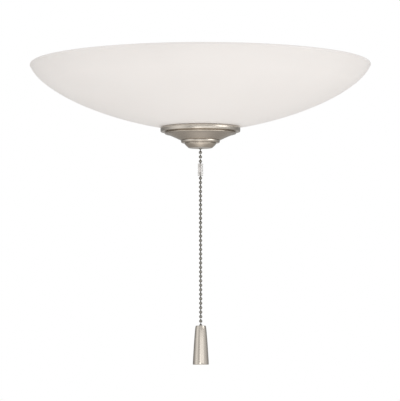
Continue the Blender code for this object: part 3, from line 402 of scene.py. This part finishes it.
def clear_plastic():
    """Clear moulding gone milky, with flow marks, and painted shade by the slit in its front and on its left.
    """
    surface = Surface(
        "clear_plastic",
        (0.97, 0.965, 0.955),
        roughness=0.1,
        IOR=1.22,
        Transmission_Weight=0.55,
    )
    flow = surface.noise(scale=500.0, detail=2.0)
    aside = surface.split(surface.where)[0]
    # painted shade: darker by the slit's middle, and darker on the left side than on the right
    slit = surface.spread(surface.math("ABSOLUTE", aside), 0.32, 0.52, SLIT_SHADE_NEAR, SLIT_SHADE_FAR)
    left = surface.spread(aside, 0.0, 0.14, SLEEVE_SHADE_LEFT, SLEEVE_SHADE_RIGHT)
    both = surface.math("ADD", surface.math("ADD", slit, left), surface.spread(flow, 0.0, 0.04))
    surface.tint(both, dark=(0.90, 0.86, 0.84))
    surface.rough(flow, 0.06, 0.16)
    surface.bump(flow, distance=0.05 * MM, strength=0.15)
    return surface.material


def white_steel():
    """White powder coat: orange peel, and a little dust in the colour."""
    surface = Surface("white_steel", (0.80, 0.80, 0.78), roughness=0.42)
    surface.tint(surface.noise(scale=35.0, detail=4.0), dark=(0.965, 0.96, 0.95))
    surface.rough(surface.noise(scale=240.0, detail=2.0), 0.34, 0.5)
    surface.bump(surface.noise(scale=900.0, detail=1.0), distance=0.12 * MM, strength=0.25)
    return surface.material


def zinc_steel():
    """Zinc plate: cloudy spangle and fine rolling marks."""
    surface = Surface("zinc_steel", (0.60, 0.61, 0.62), roughness=0.36, metallic=1.0)
    clouds = surface.noise(scale=160.0, detail=4.0, roughness=0.6, distortion=0.4)
    surface.tint(clouds, dark=(0.84, 0.85, 0.88), light=(1.06, 1.05, 1.0))
    marks = surface.noise(scale=260.0, vector=surface.stretched((1.0, 14.0, 1.0)))
    surface.rough(marks, 0.28, 0.46)
    surface.bump(marks, distance=0.03 * MM, strength=0.25)
    return surface.material


def brass():
    """Plain brass, slightly tarnished."""
    surface = Surface("brass", (0.72, 0.53, 0.24), roughness=0.3, metallic=1.0)
    tarnish = surface.noise(scale=220.0, detail=4.0, roughness=0.6)
    surface.tint(tarnish, dark=(0.72, 0.68, 0.6), light=(1.05, 1.05, 1.05))
    surface.rough(tarnish, 0.42, 0.22)
    lathe_marks = surface.noise(scale=1.0, vector=surface.rings(across=3000.0, around=1.0))
    surface.bump(lathe_marks, distance=0.03 * MM, strength=0.25)
    return surface.material


def frosted_glass():
    """A lamp's glass, frosted inside: smooth outside, with the frost's haze below."""
    surface = Surface(
        "frosted_glass",
        (0.90, 0.90, 0.885),
        roughness=0.3,
        Coat_Weight=0.5,
        Coat_Roughness=0.06,
        Subsurface_Weight=0.2,
        Subsurface_Radius=(1.0, 1.0, 1.0),
        Subsurface_Scale=2.0 * MM,
    )
    surface.tint(surface.noise(scale=90.0), dark=(0.975, 0.975, 0.97))
    surface.rough(surface.noise(scale=400.0, detail=2.0), 0.26, 0.36)
    surface.bump(surface.noise(scale=1800.0, detail=2.0), distance=0.03 * MM, strength=0.12)
    return surface.material


def phenolic():
    """Black phenolic moulding, dull, with the filler's grain."""
    surface = Surface("phenolic", (0.030, 0.026, 0.023), roughness=0.45)
    grain = surface.noise(scale=700.0, detail=5.0, roughness=0.7)
    surface.tint(grain, dark=(0.7, 0.7, 0.7), light=(1.5, 1.4, 1.3))
    surface.rough(grain, 0.36, 0.58)
    surface.bump(grain, distance=0.05 * MM, strength=0.3)
    return surface.material


def rubber():
    """Black rubber, dull and dusty."""
    surface = Surface("rubber", (0.022, 0.022, 0.023), roughness=0.7)
    dust = surface.noise(scale=320.0, detail=5.0, roughness=0.65)
    surface.tint(dust, dark=(0.8, 0.8, 0.8), light=(1.9, 1.9, 1.8))
    surface.rough(dust, 0.6, 0.85)
    surface.bump(surface.noise(scale=2200.0, detail=2.0), distance=0.06 * MM, strength=0.35)
    return surface.material


def insulation(name, colour):
    """Wire insulation: glossy, with draw marks and scuffs."""
    surface = Surface(name, colour, roughness=0.35)
    scuffs = surface.noise(scale=600.0, detail=4.0)
    surface.tint(scuffs, dark=(0.85, 0.85, 0.84), light=(1.08, 1.08, 1.08))
    surface.rough(scuffs, 0.28, 0.5)
    surface.bump(scuffs, distance=0.04 * MM, strength=0.2)
    return surface.material


def black_lead():
    return insulation("black_lead", (0.020, 0.020, 0.021))


def white_lead():
    return insulation("white_lead", (0.78, 0.78, 0.75))


def orange_plastic():
    """The wire nuts' orange moulding, with flow marks and a fine grain."""
    surface = Surface("orange_plastic", (0.72, 0.17, 0.022), roughness=0.4)
    flow = surface.noise(scale=260.0)
    surface.tint(flow, dark=(0.9, 0.85, 0.8), light=(1.05, 1.05, 1.0))
    surface.rough(flow, 0.33, 0.5)
    surface.bump(surface.noise(scale=1500.0, detail=2.0), distance=0.05 * MM, strength=0.25)
    return surface.material


FINISHES = {
    "opal_glass": opal_glass(),
    "brushed_nickel": brushed_nickel(),
    "drawn_nickel": drawn_nickel(),
    "dark_nickel": dark_nickel(),
    "clear_plastic": clear_plastic(),
    "white_steel": white_steel(),
    "zinc_steel": zinc_steel(),
    "brass": brass(),
    "frosted_glass": frosted_glass(),
    "phenolic": phenolic(),
    "rubber": rubber(),
    "black_lead": black_lead(),
    "white_lead": white_lead(),
    "orange_plastic": orange_plastic(),
}


def dress_nodes():
    """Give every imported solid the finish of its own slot."""
    for part in frame["record"]["subparts"]:
        materials = frame["nodes"][part["node"]].data.materials
        materials.clear()
        materials.append(FINISHES[part["material_slot"]])


# Glass bowl: the same curve as the solid's, with fine steps and a fire-polished rim

BOWL_CURVE_DEPTH = 65.8 * MM
BOWL_CURVE_END = 0.9985  # of the radius, inside the rim's rounding
BOWL_CURVE_STEPS = 44
BOWL_RADIAL_SHARE = 1.58
BOWL_DEPTH_SHARE = 0.625
BOWL_WALL = 4.0 * MM
BOWL_PAD_RADIUS = 25.0 * MM
BOWL_HOLE = 6.6 * MM
BOWL_HOLE_EDGE = 0.6 * MM
BOWL_RIM_STEPS = 10


def glass_bowl():
    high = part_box("glass_bowl")[1]
    radius, rim = high.x, high.z

    def height_at(r):
        """Height of the outer face at a distance from the axis."""
        return rim - BOWL_CURVE_DEPTH * (1 - (r / radius) ** BOWL_RADIAL_SHARE) ** BOWL_DEPTH_SHARE

    reach = radius * BOWL_CURVE_END - BOWL_PAD_RADIUS
    outer = []
    for share in reversed(shares(BOWL_CURVE_STEPS)):
        r = BOWL_PAD_RADIUS + reach * math.sin(QUARTER * share)
        outer.append((r, height_at(r)))
    inner = []
    for before, point, after in zip(outer, outer[1:], outer[2:]):
        along = (Vector(after) - Vector(before)).normalized()
        inner.append((point[0] + along.y * BOWL_WALL, point[1] - along.x * BOWL_WALL))
    rounding = BOWL_WALL / 2
    outline = arc((radius - rounding, rim - rounding), rounding, 180, 0, BOWL_RIM_STEPS)
    outline += [point for point in outer if point[1] < rim - rounding]
    pad, edge = height_at(BOWL_PAD_RADIUS), BOWL_HOLE_EDGE
    outline += [(BOWL_HOLE + edge, pad), (BOWL_HOLE, pad + edge), (BOWL_HOLE, pad + BOWL_WALL - edge)]
    outline += [(BOWL_HOLE + edge, pad + BOWL_WALL), (BOWL_PAD_RADIUS - edge, pad + BOWL_WALL)]
    outline += [point for point in reversed(inner) if point[1] < rim - rounding]
    bowl = turned("opal_bowl", outline, BOWL_STEPS, GLASS_SHARP)
    dress(bowl, "fixture", "glass_bowl", "opal_glass")


# Spun cap: a bulged band, a dark groove, a bright bead and a concave cone

CAP_BAND = 4.5 * MM
CAP_BAND_INSET = 0.3 * MM
CAP_BAND_STEPS = 8
CAP_BULGE = 0.2 * MM
CAP_EDGE = 0.35 * MM
CAP_LEDGE_WIDTH = 3.3 * MM
CAP_RECESS = 0.2 * MM
CAP_BEAD_RADIUS = 1.1 * MM
CAP_BEAD_SHARE = 0.75  # the fine bead's radius, in the solid's
CAP_BEAD_INSET = 0.3 * MM
CAP_BEAD_START = 95
CAP_BEAD_STEPS = 12
CAP_VALLEY_INSET = 0.5 * MM
CAP_VALLEY_RISE = 0.25 * MM
CAP_CONE_INSET = 2.2 * MM
CAP_CONE_SHARE = 1.15
CAP_CONE_STEPS = 16
CAP_SEAT_MARGIN = 0.25 * MM
CAP_SHEET = 0.9 * MM
ROD_HOLE = 5.3 * MM

# The groove's corners, in shares of the bead's radius out from its centre and of the recess
CAP_GROOVE = ((1.0, 0.0), (0.5, 1.0), (-0.2, 1.0))


def spun_cap():
    low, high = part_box("bottom_cap")
    top, under = high.z, low.z
    side = high.x - CAP_BAND_INSET
    ledge = top - CAP_BAND
    bead = CAP_BEAD_RADIUS * CAP_BEAD_SHARE
    bead_middle = side - CAP_LEDGE_WIDTH - CAP_BEAD_RADIUS - CAP_BEAD_INSET
    cone_top = side - CAP_LEDGE_WIDTH - CAP_CONE_INSET
    cone_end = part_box("finial")[1].x + CAP_SEAT_MARGIN
    cone_start = ledge - 2 * CAP_BEAD_RADIUS

    outline = arc((side - CAP_EDGE, top - CAP_EDGE), CAP_EDGE, 90, 0, EDGE_STEPS)
    for share in shares(CAP_BAND_STEPS)[1:-1]:
        bulge = CAP_BULGE * math.sin(math.pi * share)
        outline.append((side + bulge, top - CAP_EDGE - (CAP_BAND - 2 * CAP_EDGE) * share))
    outline += arc((side - CAP_EDGE, ledge + CAP_EDGE), CAP_EDGE, 0, -90, EDGE_STEPS)
    outline += [(bead_middle + bead * out, ledge + CAP_RECESS * up) for out, up in CAP_GROOVE]
    outline += arc((bead_middle, cone_start + bead), bead, CAP_BEAD_START, -90, CAP_BEAD_STEPS)
    outline.append((cone_top - CAP_VALLEY_INSET, cone_start + CAP_VALLEY_RISE))
    cone = []
    for share in shares(CAP_CONE_STEPS):
        r = cone_top + (cone_end - cone_top) * share
        cone.append((r, cone_start - (cone_start - under) * share**CAP_CONE_SHARE))
    outline += cone
    outline += [(ROD_HOLE, under), (ROD_HOLE, under + CAP_SHEET)]
    outline += [(r - CAP_SHEET / 2, z + CAP_SHEET) for r, z in reversed(cone)]
    inside = ledge + CAP_RECESS + CAP_SHEET
    outline += [(cone_top, inside), (side - CAP_SHEET, inside), (side - CAP_SHEET, top)]
    cap = turned("spun_cap", outline, METAL_STEPS, METAL_SHARP)
    dress(cap, "fixture", "bottom_cap", "brushed_nickel")


# Finial: a rounded collar, a drawn-in button and the chain's outlet

FINIAL_COLLAR_HEIGHT = 2.3 * MM
FINIAL_EDGE = 0.12 * MM
FINIAL_ROLL_SHARE = 0.6  # the rounding of the collar's lower edge, in its height
FINIAL_ROLL_STEPS = 10
FINIAL_NECK = 0.6 * MM
FINIAL_BUTTON_TOP = 15.5 * MM
FINIAL_BUTTON_END = 11.4 * MM
FINIAL_BUTTON_HEIGHT = 4.9 * MM
FINIAL_BUTTON_SHARE = 1.3
FINIAL_BUTTON_EDGE = 0.1 * MM
FINIAL_BUTTON_STEPS = 16
FINIAL_DOME_SHARE = 3.0
FINIAL_DOME_STEPS = 12
FINIAL_END_DROP = 0.4 * MM  # below the solid knob's end
FINIAL_OUTLET = 2.6 * MM
FINIAL_EYELET = 0.5 * MM


def finial_knob():
    low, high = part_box("finial")
    radius, under = high.x, low.z - FINIAL_END_DROP
    collar_under = high.z - FINIAL_COLLAR_HEIGHT
    button_under = collar_under - FINIAL_BUTTON_HEIGHT
    top = high.z + GAP / 2
    rod_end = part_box("center_rod")[0].z - GAP
    edge, neck = FINIAL_EDGE, FINIAL_NECK
    roll = FINIAL_COLLAR_HEIGHT * FINIAL_ROLL_SHARE

    outline = arc((radius - edge, top - edge), edge, 90, 0, EDGE_STEPS)
    outline += arc((radius - roll, collar_under + roll), roll, 0, -90, FINIAL_ROLL_STEPS)
    outline += [(FINIAL_BUTTON_TOP - neck, collar_under), (FINIAL_BUTTON_TOP - neck, collar_under - neck / 2)]
    outline.append((FINIAL_BUTTON_TOP - FINIAL_BUTTON_EDGE, collar_under - neck))
    for share in shares(FINIAL_BUTTON_STEPS)[1:]:
        r = FINIAL_BUTTON_TOP + (FINIAL_BUTTON_END - FINIAL_BUTTON_TOP) * share**FINIAL_BUTTON_SHARE
        outline.append((r, collar_under - neck - (FINIAL_BUTTON_HEIGHT - neck) * share))
    ring = FINIAL_OUTLET + FINIAL_EYELET
    for share in shares(FINIAL_DOME_STEPS)[1:]:
        across = math.cos(QUARTER * share)
        drop = (button_under - under) * (1 - across**FINIAL_DOME_SHARE)
        outline.append((ring + (FINIAL_BUTTON_END - ring) * across, button_under - drop))
    outline += arc((ring, under + FINIAL_EYELET), FINIAL_EYELET, -90, -180, EDGE_STEPS)[1:]
    outline += [(FINIAL_OUTLET, rod_end), (ROD_HOLE, rod_end), (ROD_HOLE, top)]
    knob = turned("finial_knob", outline, METAL_STEPS, METAL_SHARP)
    dress(knob, "fixture", "finial", "brushed_nickel")


# Bead chain: hollow balls with turned-in lips, joined by dumbbell links

BEAD_RADIUS = 1.6 * MM
BEAD_PITCH = 4.34 * MM
BEAD_SIDE_STEPS = 14
LINK_RADIUS = 0.52 * MM
LIP_RADIUS = 0.78 * MM
LIP_DEPTH = 0.16 * MM

# Piece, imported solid, body, and whether it is hung: it then starts with the link out of the bead above
CHAIN = (
    ("chain_in_switch", "chain_upper", "pull", False),
    ("chain_second_bead", "chain_bead_2", "swing_bead", True),
    ("chain_short", "chain_short_end", "chain", True),
    ("chain_long", "chain_main", "chain", False),
    ("chain_last_bead", "chain_bead_last", "end_bead", True),
    ("fob_chain", "fob_link", "fob_hanger", True),
)


def bead_side(centre):
    """A ball's side between the lips round its two holes."""
    start = math.degrees(math.acos(LIP_RADIUS / BEAD_RADIUS))
    ball = arc((0, centre), BEAD_RADIUS, start, -start, BEAD_SIDE_STEPS)
    lip = math.sqrt(BEAD_RADIUS**2 - LIP_RADIUS**2) - LIP_DEPTH
    return [(LINK_RADIUS, centre + lip)] + ball + [(LINK_RADIUS, centre - lip)]


def bead_chain():
    """A hung run is whole pitches long, and another lacks the bare link at its top."""
    bare_link = BEAD_PITCH - 2 * BEAD_RADIUS
    for name, node, body, hung in CHAIN:
        low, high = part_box(node)
        length = high.z - low.z + (0 if hung else bare_link)
        outline = [(0, high.z), (LINK_RADIUS, high.z)] if hung else [(0, high.z - LIP_DEPTH)]
        for above in reversed(range(round(length / BEAD_PITCH))):
            outline += bead_side(low.z + BEAD_RADIUS + above * BEAD_PITCH)
        outline.append((0, low.z + LIP_DEPTH))
        run = turned(name, outline, BEAD_STEPS, CHAIN_SHARP)
        dress(run, body, node, "dark_nickel")
        run.visible_glossy = False  # the cap's brushing blurs so thin a thing away


# Connector: a clear sleeve with a slit down its front, where the beads snap in

SLEEVE_BORE = 1.9 * MM
SLEEVE_MOUTH = 0.9 * MM
SLEEVE_LIP = 0.3 * MM
SLEEVE_ROUNDING = 0.45 * MM
SLIT_WIDTH = 0.55 * MM
FRONT = -QUARTER


def connector():
    low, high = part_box("chain_connector")
    radius, top, bottom = high.x, high.z, low.z
    soft = SLEEVE_ROUNDING
    outline = arc((radius - soft, top - soft), soft, 90, 0, EDGE_STEPS)
    outline += arc((radius - soft, bottom + soft), soft, 0, -90, EDGE_STEPS)
    inner_bottom, inner_top = bottom + SLEEVE_LIP, top - SLEEVE_LIP
    outline += [(SLEEVE_MOUTH, bottom), (SLEEVE_MOUTH, inner_bottom), (SLEEVE_BORE, inner_bottom)]
    outline += [(SLEEVE_BORE, inner_top), (SLEEVE_MOUTH, inner_top), (SLEEVE_MOUTH, top)]
    half_slit = math.asin(SLIT_WIDTH / 2 / radius)
    sweep = TURN - 2 * half_slit
    sleeve = turned("chain_sleeve", outline, SLEEVE_STEPS, CHAIN_SHARP, FRONT + half_slit, sweep)
    dress(sleeve, "chain", "chain_connector", "clear_plastic")
    sleeve.visible_glossy = False  # as for the chain


# Fob: a tapered pull, turned bright, with a cup in its top for the chain

FOB_TOP_RADIUS = 5.0 * MM
FOB_TAPER_SHARE = 0.72
FOB_SIDE_STEPS = 24
FOB_ROUNDING = 0.6 * MM
FOB_ROUNDING_STEPS = 5
FOB_CUP = 2.5 * MM
FOB_THROAT = 0.8 * MM
FOB_DISH_DEPTH = 0.2 * MM

# The dish in the fob's end, in shares of its radius: the brim and the flat
FOB_DISH_BRIM = 0.6
FOB_DISH_FLAT = 0.56


def fob():
    low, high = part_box("fob")
    radius, top, end = high.x, high.z, low.z
    soft = FOB_ROUNDING
    bead_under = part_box("fob_link")[0].z
    chamber = BEAD_RADIUS + GAP
    chamber_end = bead_under - GAP
    chamber_top = bead_under + 2 * BEAD_RADIUS + GAP
    outline = [(0, chamber_end), (chamber, chamber_end), (chamber, chamber_top), (FOB_THROAT, chamber_top)]
    outline += [(FOB_THROAT, chamber_top + soft), (FOB_CUP, top - soft / 2)]
    outline += arc((FOB_TOP_RADIUS - soft, top - soft), soft, 90, 0, FOB_ROUNDING_STEPS)
    for share in shares(FOB_SIDE_STEPS)[1:-1]:
        r = FOB_TOP_RADIUS + (radius - FOB_TOP_RADIUS) * share**FOB_TAPER_SHARE
        outline.append((r, top - soft - (top - end - 2 * soft) * share))
    outline += arc((radius - soft, end + soft), soft, 0, -90, FOB_ROUNDING_STEPS)
    dish = end + FOB_DISH_DEPTH
    outline += [(radius * FOB_DISH_BRIM, end), (radius * FOB_DISH_FLAT, dish), (0, dish)]
    pull = turned("fob_pull", outline, METAL_STEPS, METAL_SHARP)
    dress(pull, "fob_body", "fob", "brushed_nickel", look="drawn_nickel")


# Lamps: torpedo bulbs

LAMP_COUNT = 3
LAMP_HEIGHT = -25.0 * MM  # of its axis
BULB_RADIUS = 16.0 * MM
BULB_NECK = 6.0 * MM
BULB_NECK_STEPS = 14
BULB_WALL = 1.0 * MM
BULB_WIDEST_SHARE = 0.36
BULB_TIP_SHARE = 0.72
BULB_TIP_STEPS = 24


def bulb_outline(radius, neck, length, start):
    """From the neck, by an S curve to the widest place, and on to the tip."""
    widest = length * BULB_WIDEST_SHARE
    outline = []
    for share in shares(BULB_NECK_STEPS):
        swell = (1 - math.cos(math.pi * share)) / 2
        outline.append((neck + (radius - neck) * swell, start + widest * share))
    for step in shares(BULB_TIP_STEPS)[1:-1]:
        share = math.sin(QUARTER * step)
        narrowed = radius * (1 - share**2) ** BULB_TIP_SHARE
        outline.append((narrowed, start + widest + (length - widest) * share))
    outline.append((0, start + length))
    return outline


def lamps():
    """The rear lamp's box gives every lamp's reach, because they are alike."""
    low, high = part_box("bulb_glass_1")
    start, length = low.y, high.y - low.y
    for number in range(LAMP_COUNT):
        outline = bulb_outline(BULB_RADIUS, BULB_NECK, length, start)[::-1]
        outline += bulb_outline(BULB_RADIUS - BULB_WALL, BULB_NECK - BULB_WALL, length - 2 * BULB_WALL, start)
        bulb = turned(f"torpedo_bulb_{number + 1}", outline, LAMP_STEPS, GLASS_SHARP)
        around = Matrix.Rotation(QUARTER + number * TURN / LAMP_COUNT, 4, "Z")
        level = Matrix.Translation((0, 0, LAMP_HEIGHT)) @ Matrix.Rotation(QUARTER, 4, "Y")
        bulb.data.transform(around @ level)
        dress(bulb, "fixture", f"bulb_glass_{number + 1}", "frosted_glass")


# Switch spring: a coil of round wire that shortens as the chain is pulled

SPRING_WIRE = 0.35 * MM
SPRING_TURNS = 4
SPRING_TURN_STEPS = 28
WIRE_STEPS = 8


def switch_coil():
    low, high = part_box("switch_spring")
    mean = high.x - SPRING_WIRE
    bottom, top = low.z + SPRING_WIRE, high.z - SPRING_WIRE
    count = SPRING_TURNS * SPRING_TURN_STEPS
    wire_angles = [TURN * k / WIRE_STEPS for k in range(WIRE_STEPS)]
    shape = bmesh.new()
    rings = []
    for n in range(count + 1):
        angle = TURN * n / SPRING_TURN_STEPS
        outward = Vector((math.cos(angle), math.sin(angle), 0))
        onward = Vector((-math.sin(angle), math.cos(angle), 0)) * mean * TURN
        along = onward + Vector((0, 0, (bottom - top) / SPRING_TURNS))
        across = along.normalized().cross(outward)
        centre = outward * mean + Vector((0, 0, top + (bottom - top) * n / count))
        spokes = [outward * math.cos(a) + across * math.sin(a) for a in wire_angles]
        rings.append([shape.verts.new(centre + spoke * SPRING_WIRE) for spoke in spokes])
    for before, after in zip(rings, rings[1:]):
        for k in range(WIRE_STEPS):
            following = (k + 1) % WIRE_STEPS
            shape.faces.new((before[k], before[following], after[following], after[k]))
    shape.faces.new(rings[0])
    shape.faces.new(rings[-1])
    coil = solid("switch_coil", shape, COIL_SHARP)
    dress(coil, "fixture", "switch_spring", "zinc_steel")
    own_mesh(coil)


# Light, floor and camera

FLOOR_HEIGHT = -3.8
FLOOR_RADIUS = 14.0
FLOOR_FACETS = 64
FLOOR_COLOUR = (0.90, 0.90, 0.89)
BELOW_COLOUR = (1.0, 0.95, 0.90)
WHITE = (1, 1, 1, 1)

# Light level that metal sees in the world, by azimuth in degrees: 0 is the camera's side, and 90 the right
AROUND = (
    (-180, 0.50),
    (-168, 0.42),
    (-140, 0.30),
    (-108, 0.49),
    (-84, 0.94),
    (-64, 1.26),
    (-48, 1.02),
    (-34, 0.66),
    (-22, 0.80),
    (-13, 0.98),
    (-3, 0.95),
    (8, 0.80),
    (20, 0.76),
    (34, 0.84),
    (55, 0.94),
    (80, 0.82),
    (100, 0.60),
    (126, 0.36),
    (168, 0.40),
    (180, 0.50),
)

# Light level that metal sees on the floor: one by metres behind the rod (BELOW), times one by metres to the
# right of it (ACROSS)
BELOW = (
    (-6.0, 0.86),
    (-3.0, 1.25),
    (-1.2, 1.10),
    (-0.2, 0.78),
    (1.0, 0.50),
    (2.8, 0.54),
    (4.0, 0.44),
    (7.0, 0.44),
    (13.0, 0.50),
)
ACROSS = (
    (-3.0, 0.85),
    (-0.9, 0.96),
    (-0.25, 1.34),
    (0.25, 1.34),
    (0.9, 0.96),
    (3.0, 1.00),
)

# Area lights: name, place, width and height, power, the place it faces, and the one kind of surface it lights
SOFTBOXES = (
    ("right_fill", (3.0, -0.6, -0.9), (1.5, 1.5), 8.5, (0, 0, -0.1), "plain"),
    ("under_fill", (0.1, -0.8, -2.2), (1.8, 1.4), 5.0, (0, 0, -0.1), "plain"),
    ("cap_strip", (0.74, -0.36, 0.21), (0.50, 0.48), 1.75, (0, 0, 0.21), "metal"),
    ("low_strip", (-0.14, -0.87, -0.37), (0.28, 0.28), 0.36, (0, 0, -0.08), "metal"),
    ("fob_strip", (0.27, -0.86, -0.20), (1.0, 0.2), 0.46, (0, 0, -0.20), "metal"),
)


def world():
    """Soft bands where metal looks, and plain white for the camera and everything else."""
    studio = bpy.data.worlds.new("studio")
    bpy.context.scene.world = studio
    studio.use_nodes = True
    nodes = Nodes(studio.node_tree)
    x, y = nodes.split(nodes.node("ShaderNodeTexCoord").outputs["Generated"])[:2]
    azimuth = nodes.math("ARCTAN2", x, nodes.math("MULTIPLY", y, -1.0))
    bands = nodes.levels(nodes.math("MULTIPLY", azimuth, 360 / TURN), AROUND)
    rays = nodes.node("ShaderNodeLightPath").outputs
    clear = nodes.math("MAXIMUM", rays["Is Camera Ray"], rays["Is Transmission Ray"])
    metal = nodes.math("MULTIPLY", rays["Is Glossy Ray"], nodes.math("SUBTRACT", 1.0, clear))
    plain = nodes.math("SUBTRACT", 1.0, metal)
    back = nodes.tree.nodes["Background"].inputs
    nodes.feed(back["Color"], WHITE)
    nodes.feed(back["Strength"], nodes.math("ADD", plain, nodes.math("MULTIPLY", metal, bands)))


def softboxes():
    for name, position, size, power, facing, lights in SOFTBOXES:
        lamp = bpy.data.lights.new(name, "AREA")
        lamp.shape = "RECTANGLE"
        lamp.size, lamp.size_y = size
        lamp.energy = power
        obj = add(name, lamp)
        obj.location = position
        obj.rotation_euler = (Vector(facing) - Vector(position)).to_track_quat("-Z", "Y").to_euler()
        obj.visible_glossy = lights == "metal"
        obj.visible_diffuse = lights == "plain"
        obj.visible_camera = False


def floor():
    """A pale floor, far below."""
    shape = bmesh.new()
    bmesh.ops.create_circle(shape, cap_ends=True, segments=FLOOR_FACETS, radius=FLOOR_RADIUS)
    obj = add("floor", mesh_of("floor", shape))
    obj.location = (0, 0, FLOOR_HEIGHT)
    surface = Surface("floor", FLOOR_COLOUR, roughness=0.6)
    surface.tint(surface.noise(scale=0.8, detail=2.0), dark=(0.99, 0.99, 0.99))
    x, y = surface.split(surface.where)[:2]
    level = surface.math("MULTIPLY", surface.levels(y, BELOW), surface.levels(x, ACROSS))
    glow = surface.node("ShaderNodeEmission", {"Color": (*BELOW_COLOUR, 1), "Strength": level}).outputs[0]
    glossy = surface.node("ShaderNodeLightPath").outputs["Is Glossy Ray"]
    mix = surface.node("ShaderNodeMixShader", {0: glossy, 1: surface.shader.outputs[0], 2: glow})
    surface.feed(surface.tree.nodes["Material Output"].inputs["Surface"], mix.outputs[0])
    obj.data.materials.append(surface.material)


def camera():
    data = bpy.data.cameras.new("camera")
    data.sensor_fit = "HORIZONTAL"
    data.sensor_width = SENSOR_WIDTH
    data.lens = SENSOR_WIDTH / 2 / math.tan(HALF_VIEW)
    data.clip_end = CAMERA_REACH
    obj = add("camera", data)
    pitch = math.atan2(VIEW_CENTRE_HEIGHT - CAMERA_HEIGHT, CAMERA_DISTANCE)
    turn = Matrix.Rotation(QUARTER + pitch, 4, "X") @ Matrix.Rotation(-CAMERA_ROLL, 4, "Z")
    obj.matrix_world = Matrix.Translation((CAMERA_SIDE, -CAMERA_DISTANCE, CAMERA_HEIGHT)) @ turn
    bpy.context.scene.camera = obj


camera()
bpy.context.scene.view_settings.view_transform = "Standard"
world()
floor()
softboxes()

dress_nodes()
glass_bowl()
spun_cap()
finial_knob()
bead_chain()
connector()
fob()
lamps()
switch_coil()
